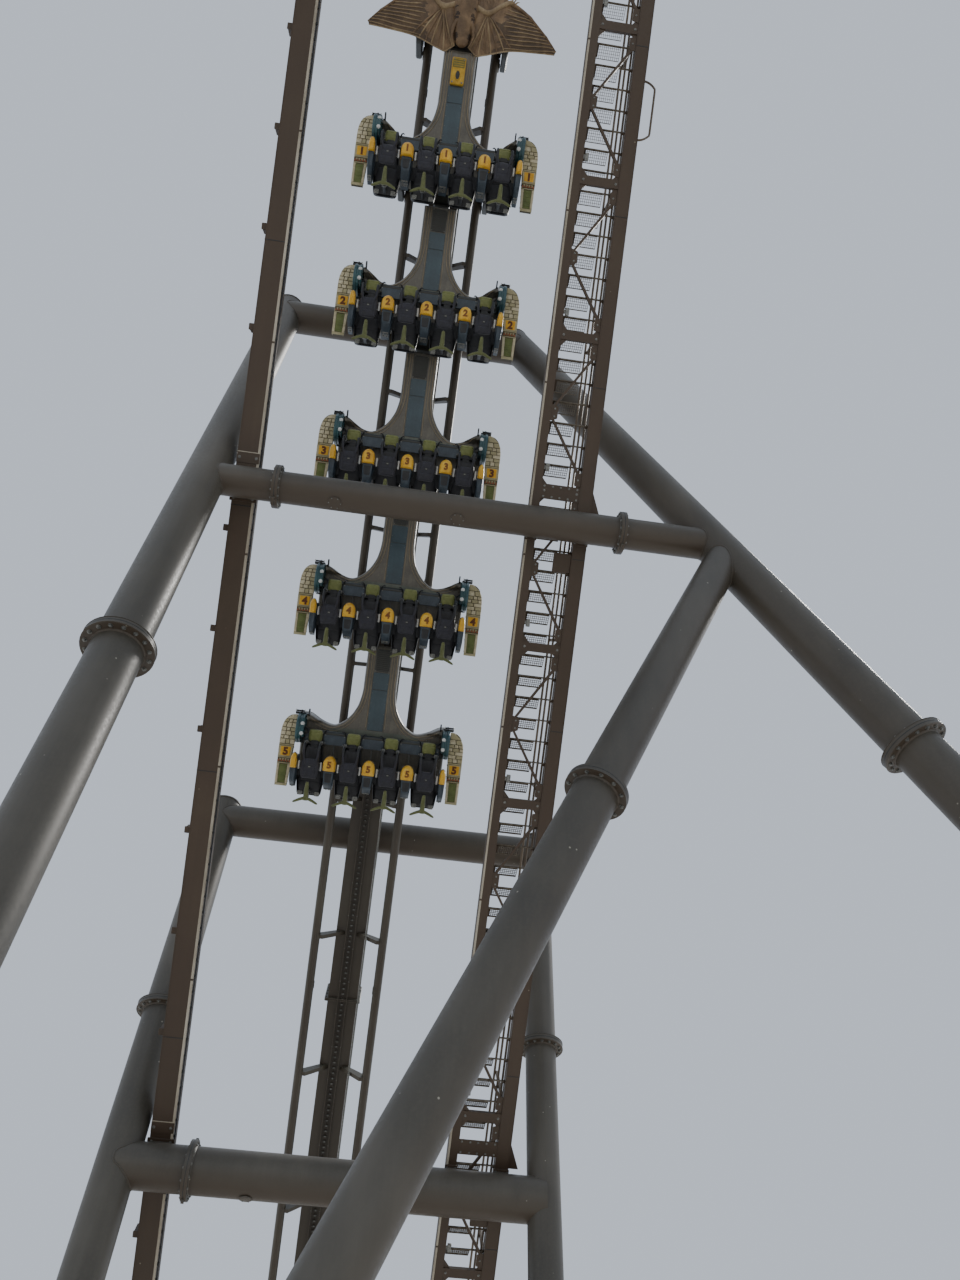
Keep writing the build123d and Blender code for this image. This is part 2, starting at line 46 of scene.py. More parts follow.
# ------------------------------------------------------------ shared frame
ANGLE = math.radians(39.0)
CA, SA, TA = math.cos(ANGLE), math.sin(ANGLE), math.tan(ANGLE)
X0, Z0, TY = 1.29418, 15.990, -4.885
TRACK = Matrix(((CA, 0, -SA, X0), (0, 1, 0, TY), (SA, 0, CA, Z0), (0, 0, 0, 1)))
ROW_A = [7.56, 4.935, 2.31, -0.315, -2.94]
PITCH = 0.66


def tp(a, y, n):
    return Vector((X0 + a * CA - n * SA, TY + y, Z0 + a * SA + n * CA))


# ------------------------------------------------------------ materials
def node(nt, kind, **kw):
    nd = nt.nodes.new(kind)
    for k, v in kw.items():
        if k in nd.inputs:
            nd.inputs[k].default_value = v
        else:
            setattr(nd, k, v)
    return nd


def coords(nt, scale=(1, 1, 1), turn=0.0):
    tc = nt.nodes.new("ShaderNodeTexCoord")
    mp = nt.nodes.new("ShaderNodeMapping")
    mp.inputs["Rotation"].default_value = (0, turn, 0)
    mp.inputs["Scale"].default_value = scale
    if turn:
        # turn first, then scale, so the streaks run with the track
        m2 = nt.nodes.new("ShaderNodeMapping")
        m2.inputs["Scale"].default_value = scale
        mp.inputs["Scale"].default_value = (1, 1, 1)
        nt.links.new(tc.outputs["Object"], mp.inputs["Vector"])
        nt.links.new(mp.outputs["Vector"], m2.inputs["Vector"])
        return m2.outputs["Vector"]
    nt.links.new(tc.outputs["Object"], mp.inputs["Vector"])
    return mp.outputs["Vector"]


def ramp(nt, fac, stops):
    r = nt.nodes.new("ShaderNodeValToRGB")
    el = r.color_ramp.elements
    while len(el) > 1:
        el.remove(el[-1])
    el[0].position, el[0].color = stops[0][0], (*stops[0][1], 1) if len(stops[0][1]) == 3 else stops[0][1]
    for p, c in stops[1:]:
        e = el.new(p)
        e.color = (*c, 1) if len(c) == 3 else c
    nt.links.new(fac, r.inputs["Fac"])
    return r.outputs["Color"]


def mixc(nt, fac, a, b, mode="MIX"):
    m = nt.nodes.new("ShaderNodeMix")
    m.data_type = "RGBA"
    m.blend_type = mode
    if isinstance(fac, (int, float)):
        m.inputs[0].default_value = fac
    else:
        nt.links.new(fac, m.inputs[0])
    for sock, v in ((m.inputs[6], a), (m.inputs[7], b)):
        if isinstance(v, tuple):
            sock.default_value = (*v, 1) if len(v) == 3 else v
        else:
            nt.links.new(v, sock)
    return m.outputs[2]


def mathn(nt, op, a, b=None):
    m = nt.nodes.new("ShaderNodeMath")
    m.operation = op
    for sock, v in ((m.inputs[0], a), (m.inputs[1], b)):
        if v is None:
            continue
        if isinstance(v, (int, float)):
            sock.default_value = v
        else:
            nt.links.new(v, sock)
    return m.outputs[0]


def noise_tex(nt, vec, scale, detail=5.0, rough=0.55, distort=0.0):
    n = nt.nodes.new("ShaderNodeTexNoise")
    n.inputs["Scale"].default_value = scale
    n.inputs["Detail"].default_value = detail
    n.inputs["Roughness"].default_value = rough
    n.inputs["Distortion"].default_value = distort
    nt.links.new(vec, n.inputs["Vector"])
    return n.outputs["Fac"]


def bump(nt, height, strength, distance, normal=None):
    b = nt.nodes.new("ShaderNodeBump")
    b.inputs["Strength"].default_value = strength
    b.inputs["Distance"].default_value = distance
    nt.links.new(height, b.inputs["Height"])
    if normal is not None:
        nt.links.new(normal, b.inputs["Normal"])
    return b.outputs["Normal"]


def base_material(name):
    m = bpy.data.materials.new(name)
    m.use_nodes = True
    nt = m.node_tree
    bsdf = nt.nodes["Principled BSDF"]
    return m, nt, bsdf


def paint(name, main, dark, light, rough=0.45, metallic=0.0, big=0.6, fine=30.0, streak=(1, 1, 1), turn=0.0,
          streak_amount=0.35, under=None, specks=None, coat=0.0, bump_s=0.15, bump_d=0.001, grime=0.35):
    """Weathered paint: broad tone changes, streaks, grime, dust specks and fine orange-peel bump; with under given,
    painted shade on the downward faces.
    """
    m, nt, bsdf = base_material(name)
    plain = coords(nt, (1, 1, 1), turn)
    st = coords(nt, streak, turn)
    broad = noise_tex(nt, plain, big, 4.0, 0.6)
    col = ramp(nt, broad, [(0.25, dark), (0.5, main), (0.78, light)])
    stn = noise_tex(nt, st, 1.0, 6.0, 0.65)
    sf = ramp(nt, stn, [(0.35, (0, 0, 0)), (0.75, (1, 1, 1))])
    col = mixc(nt, mathn(nt, "MULTIPLY", sf, streak_amount), col, tuple(v * 0.55 for v in dark))
    small = noise_tex(nt, plain, fine, 3.0, 0.5)
    gf = ramp(nt, small, [(0.45, (0, 0, 0)), (0.8, (1, 1, 1))])
    col = mixc(nt, mathn(nt, "MULTIPLY", gf, grime), col, light)
    if under:
        # painted shade: faces that point down are mixed toward the under colour, standing for the shade on the
        # undersides
        geo = nt.nodes.new("ShaderNodeNewGeometry")
        sep = nt.nodes.new("ShaderNodeSeparateXYZ")
        nt.links.new(geo.outputs["Normal"], sep.inputs[0])
        underside_shade_mask = ramp(nt, mathn(nt, "MULTIPLY", sep.outputs["Z"], -1.0), [(0.05, (0, 0, 0)), (0.85, (0.8, 0.8, 0.8))])
        col = mixc(nt, underside_shade_mask, col, under)
    if specks:
        v = nt.nodes.new("ShaderNodeTexVoronoi")
        v.inputs["Scale"].default_value = 5.0
        nt.links.new(plain, v.inputs["Vector"])
        spf = ramp(nt, v.outputs["Distance"], [(0.0, (1, 1, 1)), (0.035, (1, 1, 1)), (0.06, (0, 0, 0))])
        gate = ramp(nt, noise_tex(nt, plain, 1.7, 2.0), [(0.52, (0, 0, 0)), (0.6, (1, 1, 1))])
        col = mixc(nt, mathn(nt, "MULTIPLY", mathn(nt, "MULTIPLY", spf, gate), 0.7), col, specks)
    nt.links.new(col, bsdf.inputs["Base Color"])
    rr = ramp(nt, small, [(0.2, (rough - 0.1,) * 3), (0.8, (min(rough + 0.15, 1.0),) * 3)])
    nt.links.new(rr, bsdf.inputs["Roughness"])
    bsdf.inputs["Metallic"].default_value = metallic
    if coat:
        bsdf.inputs["Coat Weight"].default_value = coat
        bsdf.inputs["Coat Roughness"].default_value = 0.2
    peel = noise_tex(nt, plain, fine * 6, 2.0, 0.5)
    nrm = bump(nt, peel, bump_s, bump_d)
    nrm = bump(nt, stn, bump_s * 0.8, bump_d * 2, nrm)
    nt.links.new(nrm, bsdf.inputs["Normal"])
    return m


def steel(name, main, dark, light, rough=0.38, metallic=0.85, scale=18.0, turn=0.0):
    m, nt, bsdf = base_material(name)
    plain = coords(nt, (1, 1, 1), turn)
    brushed = coords(nt, (3, 90, 90), turn)
    a = noise_tex(nt, plain, scale, 5.0, 0.6)
    b = noise_tex(nt, brushed, 1.0, 3.0, 0.6)
    col = ramp(nt, a, [(0.3, dark), (0.52, main), (0.75, light)])
    col = mixc(nt, mathn(nt, "MULTIPLY", b, 0.3), col, dark)
    nt.links.new(col, bsdf.inputs["Base Color"])
    nt.links.new(ramp(nt, a, [(0.2, (rough,) * 3), (0.8, (min(rough + 0.25, 1),) * 3)]), bsdf.inputs["Roughness"])
    bsdf.inputs["Metallic"].default_value = metallic
    nt.links.new(bump(nt, b, 0.2, 0.0006), bsdf.inputs["Normal"])
    return m


def vinyl(name, main, light, rough=0.55, grain=420.0, seam=None, sheen=0.2, wear=None):
    """Padded cover: fine leather-like grain, soft folds and paler wear in patches."""
    m, nt, bsdf = base_material(name)
    plain = coords(nt)
    v = nt.nodes.new("ShaderNodeTexVoronoi")
    v.inputs["Scale"].default_value = grain
    nt.links.new(plain, v.inputs["Vector"])
    soft = noise_tex(nt, plain, 9.0, 4.0, 0.6, 0.4)
    col = ramp(nt, soft, [(0.3, main), (0.75, light)])
    if wear:
        w = ramp(nt, noise_tex(nt, plain, 30.0, 5.0, 0.7), [(0.55, (0, 0, 0)), (0.75, (1, 1, 1))])
        col = mixc(nt, mathn(nt, "MULTIPLY", w, 0.4), col, wear)
    nt.links.new(col, bsdf.inputs["Base Color"])
    nt.links.new(ramp(nt, soft, [(0.2, (rough - 0.1,) * 3), (0.8, (rough + 0.12,) * 3)]), bsdf.inputs["Roughness"])
    bsdf.inputs["Sheen Weight"].default_value = sheen
    bsdf.inputs["Sheen Roughness"].default_value = 0.5
    nrm = bump(nt, v.outputs["Distance"], 0.25, 0.0006)
    nrm = bump(nt, soft, 0.3, 0.004, nrm)
    nt.links.new(nrm, bsdf.inputs["Normal"])
    return m


def srgb(r, g, b):
    return tuple(((c / 255) / 12.92) if c <= 10 else (((c / 255) + 0.055) / 1.055) ** 2.4 for c in (r, g, b))


MAT = {}
# under= in these paints is painted shade on the downward faces, not a paint colour of its own
MAT["structure"] = paint("structure_paint", srgb(80, 76, 68), srgb(61, 59, 55), srgb(100, 95, 86), rough=0.42,
                         big=0.35, fine=26.0, streak=(5, 5, 0.5), under=srgb(74, 62, 50), specks=srgb(190, 185, 170),
                         streak_amount=0.3, grime=0.25)
MAT["track"] = paint("track_paint", srgb(84, 80, 70), srgb(62, 60, 54), srgb(112, 110, 96), rough=0.4, big=0.8,
                     fine=40.0, streak=(0.5, 14, 14), turn=ANGLE, under=srgb(72, 62, 52), streak_amount=0.4)
MAT["walkway"] = paint("walkway_paint", srgb(76, 63, 50), srgb(58, 48, 38), srgb(102, 88, 70), rough=0.5, big=0.5,
                       fine=30.0, streak=(0.6, 12, 12), turn=ANGLE, under=srgb(70, 55, 42), specks=srgb(160, 150, 130))
MAT["handrail"] = paint("handrail_paint", srgb(92, 78, 62), srgb(68, 56, 44), srgb(128, 112, 92), rough=0.45,
                        big=1.5, fine=60.0, streak=(0.8, 20, 20), turn=ANGLE)
MAT["grating"] = steel("tread_grating", srgb(128, 118, 104), srgb(92, 82, 70), srgb(160, 152, 138), rough=0.5,
                       metallic=0.45)
MAT["strip"] = paint("pale_strip", srgb(178, 168, 150), srgb(140, 130, 112), srgb(205, 198, 182), rough=0.5, big=1.2,
                     fine=50.0, streak=(0.8, 30, 30), turn=ANGLE)
MAT["galv"] = steel("galvanised_steel", srgb(140, 140, 136), srgb(98, 98, 96), srgb(178, 178, 172), rough=0.42,
                    metallic=0.8, scale=45)
MAT["chain"] = steel("chain_steel", srgb(96, 90, 84), srgb(52, 48, 44), srgb(134, 128, 120), rough=0.35,
                     metallic=0.9, scale=40, turn=ANGLE)
MAT["black"] = paint("black_enamel", srgb(34, 35, 37), srgb(22, 23, 25), srgb(52, 54, 57), rough=0.38, big=3.0,
                     fine=60.0, streak=(4, 4, 4), streak_amount=0.2)
MAT["fairing"] = paint("fairing_shell", srgb(106, 101, 91), srgb(80, 77, 70), srgb(132, 127, 114), rough=0.4, big=1.6,
                       fine=24.0, streak=(1.1, 26, 26), streak_amount=0.55, coat=0.25, bump_s=0.25, bump_d=0.002)
MAT["fairing_band"] = paint("fairing_band", srgb(96, 102, 92), srgb(74, 80, 74), srgb(122, 128, 116), rough=0.38,
                            big=2.5, fine=36.0, streak=(2, 12, 12), streak_amount=0.3, coat=0.2)
MAT["neck_strip"] = paint("neck_strip", srgb(50, 70, 80), srgb(38, 54, 63), srgb(68, 90, 100), rough=0.34, big=1.8,
                          fine=30.0, streak=(0.8, 22, 22), streak_amount=0.3, coat=0.35)
MAT["rib_edge"] = paint("rib_edge", srgb(142, 128, 104), srgb(112, 100, 82), srgb(166, 152, 128), rough=0.45, big=4.0,
                        fine=60.0, streak=(1, 20, 20))
MAT["chassis"] = paint("chassis_enamel", srgb(52, 58, 60), srgb(38, 43, 46), srgb(74, 80, 82), rough=0.4, big=1.5,
                       fine=40.0, streak=(1, 10, 10), under=srgb(58, 56, 50))
MAT["teal"] = paint("teal_enamel", srgb(34, 74, 80), srgb(22, 54, 60), srgb(52, 98, 104), rough=0.34, big=3.0,
                    fine=40.0, streak=(3, 3, 10), streak_amount=0.25, coat=0.3)
MAT["stone"] = paint("stone_panel", srgb(204, 192, 158), srgb(162, 150, 116), srgb(230, 222, 196), rough=0.62,
                     big=7.0, fine=46.0, streak=(6, 6, 6), streak_amount=0.35, bump_s=0.5, bump_d=0.003)
MAT["stone_joint"] = paint("stone_joint", srgb(84, 78, 58), srgb(62, 58, 42), srgb(110, 102, 78), rough=0.7,
                           big=6.0, fine=50.0, streak=(5, 5, 5), bump_s=0.5, bump_d=0.002)
MAT["stone_trim"] = paint("stone_trim", srgb(178, 168, 130), srgb(142, 134, 100), srgb(204, 196, 162), rough=0.55,
                          big=5.0, fine=50.0, streak=(5, 5, 5))
MAT["sign_yellow"] = paint("number_yellow", srgb(226, 168, 26), srgb(196, 136, 18), srgb(240, 190, 60), rough=0.42,
                           big=9.0, fine=60.0, streak=(8, 8, 8), streak_amount=0.25)
MAT["number_dark"] = paint("number_dark", srgb(96, 46, 12), srgb(70, 32, 8), srgb(124, 66, 22), rough=0.5, big=12.0,
                           fine=60.0, streak=(9, 9, 9))
MAT["zigzag"] = paint("zigzag_red", srgb(168, 96, 62), srgb(138, 74, 48), srgb(190, 124, 90), rough=0.5, big=10.0,
                      fine=60.0, streak=(9, 9, 9))
MAT["olive_panel"] = paint("olive_panel", srgb(104, 114, 58), srgb(78, 88, 42), srgb(130, 138, 80), rough=0.45,
                           big=6.0, fine=50.0, streak=(4, 14, 14))
MAT["cap"] = paint("cap_yellow", srgb(232, 178, 34), srgb(198, 140, 20), srgb(244, 200, 74), rough=0.36, big=7.0,
                   fine=50.0, streak=(4, 12, 12), streak_amount=0.35, coat=0.35)
MAT["cap_mark"] = paint("cap_mark", srgb(128, 74, 10), srgb(96, 54, 8), srgb(156, 98, 20), rough=0.45, big=12.0,
                        fine=60.0, streak=(9, 9, 9))
MAT["divider"] = paint("divider_panel", srgb(56, 68, 80), srgb(42, 52, 62), srgb(78, 92, 104), rough=0.4, big=5.0,
                       fine=40.0, streak=(2, 12, 12), streak_amount=0.3, coat=0.2)
MAT["shell"] = paint("seat_shell", srgb(38, 39, 42), srgb(26, 27, 30), srgb(60, 62, 66), rough=0.45, big=5.0,
                     fine=70.0, streak=(4, 8, 8), streak_amount=0.3)
MAT["vest"] = vinyl("vest_cover", srgb(27, 27, 35), srgb(46, 46, 58), rough=0.6, grain=380.0, wear=srgb(84, 84, 92))
MAT["pad_black"] = vinyl("seat_pad_cover", srgb(34, 34, 38), srgb(58, 58, 62), rough=0.55, grain=420.0)
MAT["pad_olive"] = vinyl("headrest_cover", srgb(108, 114, 58), srgb(138, 142, 84), rough=0.5, grain=360.0,
                         wear=srgb(158, 158, 110))
MAT["shin"] = vinyl("shin_pad_cover", srgb(84, 90, 48), srgb(112, 116, 70), rough=0.55, grain=360.0,
                    wear=srgb(146, 146, 104))
MAT["grip"] = vinyl("grip_rubber", srgb(176, 178, 178), srgb(214, 215, 212), rough=0.5, grain=600.0, sheen=0.05)
MAT["white_cap"] = paint("white_cap", srgb(214, 216, 214), srgb(184, 188, 186), srgb(236, 236, 232), rough=0.35,
                         big=20.0, fine=80.0, streak=(9, 9, 9), streak_amount=0.15)
MAT["tyre"] = vinyl("wheel_tread", srgb(72, 62, 50), srgb(104, 92, 76), rough=0.5, grain=300.0, sheen=0.0)
MAT["plate"] = paint("plate_yellow", srgb(204, 160, 34), srgb(160, 120, 26), srgb(226, 184, 70), rough=0.42, big=6.0,
                     fine=50.0, streak=(3, 14, 14), streak_amount=0.5)
MAT["plate_green"] = paint("plate_green", srgb(120, 112, 46), srgb(92, 86, 36), srgb(150, 140, 66), rough=0.5,
                           big=8.0, fine=60.0, streak=(3, 14, 14))
MAT["concrete"] = paint("footing_grout", srgb(150, 146, 138), srgb(126, 122, 114), srgb(172, 168, 160), rough=0.85,
                        big=4.0, fine=40.0, streak=(3, 3, 3), bump_s=0.6, bump_d=0.004)


def skin(name, main, dark, light, scale=60.0, streak=(2, 18, 18), fold=0.6):
    """Sculpted hide: pebbled scales, long stains and pale crests."""
    m, nt, bsdf = base_material(name)
    plain = coords(nt)
    st = coords(nt, streak)
    v = nt.nodes.new("ShaderNodeTexVoronoi")
    v.inputs["Scale"].default_value = scale
    nt.links.new(plain, v.inputs["Vector"])
    a = noise_tex(nt, plain, 3.2, 5.0, 0.62, 0.6)
    s = noise_tex(nt, st, 1.0, 6.0, 0.7, 0.8)
    col = ramp(nt, a, [(0.28, dark), (0.5, main), (0.76, light)])
    sf = ramp(nt, s, [(0.4, (0, 0, 0)), (0.7, (1, 1, 1))])
    col = mixc(nt, mathn(nt, "MULTIPLY", sf, 0.55), col, dark)
    cf = ramp(nt, v.outputs["Distance"], [(0.0, (0.9, 0.9, 0.9)), (0.5, (0, 0, 0))])
    col = mixc(nt, mathn(nt, "MULTIPLY", cf, 0.3), col, light)
    nt.links.new(col, bsdf.inputs["Base Color"])
    nt.links.new(ramp(nt, a, [(0.2, (0.5,) * 3), (0.8, (0.72,) * 3)]), bsdf.inputs["Roughness"])
    nrm = bump(nt, v.outputs["Distance"], 0.35, 0.004)
    nrm = bump(nt, s, fold, 0.012, nrm)
    nt.links.new(nrm, bsdf.inputs["Normal"])
    return m


MAT["wing"] = skin("wing_membrane", srgb(88, 70, 52), srgb(58, 46, 35), srgb(122, 100, 76), scale=42.0,
                   streak=(1.2, 9, 9))
MAT["hide"] = skin("hide", srgb(122, 98, 72), srgb(84, 66, 48), srgb(166, 138, 104), scale=55.0, streak=(2, 12, 12))
MAT["bone"] = skin("bone_ridge", srgb(152, 130, 98), srgb(112, 92, 66), srgb(186, 166, 132), scale=80.0)
MAT["beak"] = skin("beak_horn", srgb(140, 118, 84), srgb(96, 78, 54), srgb(178, 156, 118), scale=30.0,
                   streak=(1, 30, 30), fold=0.3)
MAT["patch"] = skin("hide_patch", srgb(62, 48, 36), srgb(38, 29, 22), srgb(98, 78, 58), scale=48.0, streak=(3, 10, 10))
MAT["eye"] = paint("eye_dark", srgb(26, 20, 14), srgb(16, 12, 8), srgb(48, 38, 26), rough=0.15, big=12.0, fine=60.0,
                   streak=(5, 5, 5), coat=0.6, streak_amount=0.1)


# ------------------------------------------------------------ mesh building
class Build:
    """Collects faces with a material number each, in the local frame of one piece."""

    def __init__(self):
        self.v, self.f, self.m = [], [], []

    def add(self, verts, faces, mat=0):
        o = len(self.v)
        self.v.extend(Vector(p) for p in verts)
        for f in faces:
            self.f.append([i + o for i in f])
            self.m.append(mat)

    def box(self, x0, x1, y0, y1, z0, z1, mat=0, mx=None):
        p = [(x, y, z) for z in (z0, z1) for y in (y0, y1) for x in (x0, x1)]
        if mx is not None:
            p = [mx @ Vector(q) for q in p]
        self.add(p, [(0, 2, 3, 1), (4, 5, 7, 6), (0, 1, 5, 4), (2, 6, 7, 3), (0, 4, 6, 2), (1, 3, 7, 5)], mat)

    def prism(self, poly, z0, z1, mat=0, mx=None, chamfer=0.0, top_mat=None):
        """Polygon (x, y), counter-clockwise, from z0 to z1; chamfer bevels both rims."""
        n = len(poly)
        if chamfer:
            inner = offset(poly, -chamfer)
            rings = [(inner, z0), (poly, z0 + chamfer), (poly, z1 - chamfer), (inner, z1)]
        else:
            rings = [(poly, z0), (poly, z1)]
        p = [(x, y, z) for ring, z in rings for x, y in ring]
        if mx is not None:
            p = [mx @ Vector(q) for q in p]
        faces = []
        for k in range(len(rings) - 1):
            for i in range(n):
                j = (i + 1) % n
                faces.append((k * n + i, k * n + j, (k + 1) * n + j, (k + 1) * n + i))
        self.add(p, faces, mat)
        o = len(self.v) - len(p)
        self.f.append([o + i for i in reversed(range(n))])
        self.m.append(mat if top_mat is None else top_mat)
        self.f.append([o + (len(rings) - 1) * n + i for i in range(n)])
        self.m.append(mat)

    def tube(self, path, r, seg=12, mat=0, caps=True, closed=False, flat=1.0):
        """Round tube along a path; r is a number or one per point."""
        pts = [Vector(p) for p in path]
        n = len(pts)
        rs = [r] * n if isinstance(r, (int, float)) else list(r)
        seg = few(seg, max(rs))
        tang = []
        for i in range(n):
            a = pts[(i - 1) % n] if (closed or i) else pts[i]
            b = pts[(i + 1) % n] if (closed or i < n - 1) else pts[i]
            tang.append((b - a).normalized())
        t0 = tang[0]
        ref = Vector((0, 0, 1)) if abs(t0.z) < 0.9 else Vector((1, 0, 0))
        u = t0.cross(ref).normalized()
        p = []
        for i in range(n):
            if i:
                q = tang[i - 1].rotation_difference(tang[i])
                u = q @ u
            w = tang[i].cross(u).normalized()
            for k in range(seg):
                t = 2 * math.pi * k / seg
                p.append(pts[i] + (u * math.cos(t) + w * math.sin(t) * flat) * rs[i])
        faces = []
        for i in range(n if closed else n - 1):
            j = (i + 1) % n
            for k in range(seg):
                l = (k + 1) % seg
                faces.append((i * seg + k, i * seg + l, j * seg + l, j * seg + k))
        if caps and not closed:
            faces.append(tuple(reversed(range(seg))))
            faces.append(tuple((n - 1) * seg + k for k in range(seg)))
        self.add(p, faces, mat)

    def lathe(self, profile, centre, axis, seg=24, mat=0):
        """Profile of (radius, height) turned about an axis through centre; ends on the axis close it."""
        seg = few(seg, max(q[0] for q in profile))
        axis = Vector(axis).normalized()
        ref = Vector((0, 0, 1)) if abs(axis.z) < 0.9 else Vector((1, 0, 0))
        u = axis.cross(ref).normalized()
        w = axis.cross(u)
        c = Vector(centre)
        p, idx = [], []
        for r, h in profile:
            if r < 1e-6:
                idx.append([len(p)])
                p.append(c + axis * h)
            else:
                idx.append([len(p) + k for k in range(seg)])
                for k in range(seg):
                    t = 2 * math.pi * k / seg
                    p.append(c + axis * h + (u * math.cos(t) + w * math.sin(t)) * r)
        faces = []
        for a, b in zip(idx, idx[1:]):
            for k in range(seg):
                l = (k + 1) % seg
                if len(a) == 1 and len(b) == 1:
                    continue
                if len(a) == 1:
                    faces.append((a[0], b[l], b[k]))
                elif len(b) == 1:
                    faces.append((a[k], a[l], b[0]))
                else:
                    faces.append((a[k], a[l], b[l], b[k]))
        self.add(p, faces, mat)

    def bolt(self, at, axis, r=0.016, h=0.014, mat=0):
        """Hexagon head on a washer, with its stub."""
        axis = Vector(axis).normalized()
        self.lathe([(0, 0), (r * 1.45, 0), (r * 1.45, h * 0.22), (r * 1.05, h * 0.25)], at, axis, 8, mat)
        self.lathe([(r, h * 0.2), (r, h * 0.9), (r * 0.8, h), (0, h)], at, axis, 6, mat)
        self.lathe([(r * 0.5, h), (r * 0.45, h * 1.35), (0, h * 1.35)], at, axis, 6, mat)

    def grid(self, fn, nu, nv, mat=0, wrap_u=False, flip=False, matfn=None):
        p = [fn(i / nu, j / nv) for j in range(nv + 1) for i in range(nu + (0 if wrap_u else 1))]
        w = nu if wrap_u else nu + 1
        o = len(self.v)
        self.v.extend(Vector(q) for q in p)
        for j in range(nv):
            for i in range(nu):
                k = (i + 1) % w
                q = [o + j * w + i, o + j * w + k, o + (j + 1) * w + k, o + (j + 1) * w + i]
                self.f.append(q[::-1] if flip else q)
                self.m.append(matfn(i / nu, j / nv) if matfn else mat)


def few(seg, r):
    """Sides of a round part by its radius, few on what is only centimetres thick."""
    for limit, most in ((0.022, 8), (0.040, 12), (0.085, 16), (0.13, 28)):
        if r < limit:
            return min(seg, most)
    return min(seg, 40)


def offset(poly, d):
    """Polygon moved outward by d (inward if negative); counter-clockwise input."""
    n = len(poly)
    out = []
    for i in range(n):
        a, b, c = Vector(poly[i - 1]), Vector(poly[i]), Vector(poly[(i + 1) % n])
        e1, e2 = (b - a), (c - b)
        if e1.length < 1e-9 or e2.length < 1e-9:
            out.append(tuple(b))
            continue
        e1.normalize(), e2.normalize()
        n1, n2 = Vector((e1.y, -e1.x)), Vector((e2.y, -e2.x))
        m = n1 + n2
        if m.length < 1e-6:
            m = n1.copy()
        m.normalize()
        k = d / max(0.35, m.dot(n1))
        out.append((b.x + m.x * k, b.y + m.y * k))
    return out


def rounded(poly, r, seg=4):
    """Polygon with each corner rounded by about r."""
    n = len(poly)
    out = []
    for i in range(n):
        a, b, c = Vector(poly[i - 1]), Vector(poly[i]), Vector(poly[(i + 1) % n])
        d1, d2 = (a - b), (c - b)
        k = min(r, d1.length * 0.45, d2.length * 0.45)
        p, q = b + d1.normalized() * k, b + d2.normalized() * k
        for s in range(seg + 1):
            t = s / seg
            out.append(tuple((1 - t) ** 2 * p + 2 * t * (1 - t) * b + t * t * q))
    return out


def make(name, build, mats, body=None, at=None, bevel=0.0, angle=35, segs=2, subsurf=0, replaces=(), slot=None,
         merge=False, weighted=False):
    """Mesh object from a Build (or a mesh already made), placed in the row frame and set to ride."""
    if isinstance(build, Build):
        me = bpy.data.meshes.new(name)
        me.from_pydata([tuple(p) for p in build.v], [], build.f)
        me.polygons.foreach_set("material_index", build.m)
        for m in mats:
            me.materials.append(MAT[m])
        me.validate(clean_customdata=False)
        bm = bmesh.new()
        bm.from_mesh(me)
        if merge:
            bmesh.ops.remove_doubles(bm, verts=bm.verts, dist=1e-5)
        bmesh.ops.recalc_face_normals(bm, faces=bm.faces)
        bm.to_mesh(me)
        bm.free()
        me.shade_smooth()
        if not subsurf:
            me.set_sharp_from_angle(angle=math.radians(angle))
    else:
        me = build
    ob = bpy.data.objects.new(name, me)
    bpy.context.scene.collection.objects.link(ob)
    ob.matrix_world = at if at is not None else TRACK
    if bevel:
        b = ob.modifiers.new("edge", "BEVEL")
        b.width = bevel
        b.segments = segs
        b.limit_method = "ANGLE"
        b.angle_limit = math.radians(angle)
        b.harden_normals = True
    if subsurf:
        s = ob.modifiers.new("smooth", "SUBSURF")
        s.levels = s.render_levels = subsurf
    if body:
        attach(ob, body)
    for nd in replaces:
        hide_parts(nd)
    if slot:
        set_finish(ob, slot)
    return ob


def row_matrix(a, y=0.0, n=0.0):
    return TRACK @ Matrix.Translation((a, y, n))


ROW = Matrix.Identity(4)

# ------------------------------------------------------------ camera
CAM_X, CAM_Y, CAM_Z = 12.13594, -4.376, 1.6
PHI, PSI, RHO, FOCAL = math.radians(51.323), math.radians(3.825), math.radians(7.221), 963.518
r0 = Vector((0, 1, 0))
u0 = Vector((math.sin(PHI), 0, math.cos(PHI)))
f0 = Vector((-math.cos(PHI), 0, math.sin(PHI)))
f2 = f0 * math.cos(PSI) + r0 * math.sin(PSI)
r2 = r0 * math.cos(PSI) - f0 * math.sin(PSI)
r3 = r2 * math.cos(RHO) + u0 * math.sin(RHO)
u3 = u0 * math.cos(RHO) - r2 * math.sin(RHO)
cam = bpy.data.cameras.new("view")
cam.sensor_fit = "AUTO"
cam.sensor_width = 36.0
cam.lens = FOCAL / 1280.0 * 36.0
cam.clip_start, cam.clip_end = 0.05, 400.0
cam_ob = bpy.data.objects.new("view", cam)
bpy.context.scene.collection.objects.link(cam_ob)
mw = Matrix.Identity(4)
for i, c in enumerate((r3, u3, -f2)):
    for k in range(3):
        mw[k][i] = c[k]
mw[0][3], mw[1][3], mw[2][3] = CAM_X, CAM_Y, CAM_Z
cam_ob.matrix_world = mw
bpy.context.scene.camera = cam_ob

# ------------------------------------------------------------ stage and light
floor = bpy.data.meshes.new("studio_floor")
S = 160.0
floor.from_pydata([(-S, -S, -0.002), (S, -S, -0.002), (S, S, -0.002), (-S, S, -0.002)], [], [(0, 1, 2, 3)])
fm, fnt, fb = base_material("floor_pale")
fv = coords(fnt, (0.05, 0.05, 0.05))
fnt.links.new(ramp(fnt, noise_tex(fnt, fv, 1.0, 3.0), [(0.3, srgb(196, 194, 188)), (0.7, srgb(206, 204, 199))]),
              fb.inputs["Base Color"])
fb.inputs["Roughness"].default_value = 0.9
floor.materials.append(fm)
floor_ob = bpy.data.objects.new("studio_floor", floor)
bpy.context.scene.collection.objects.link(floor_ob)

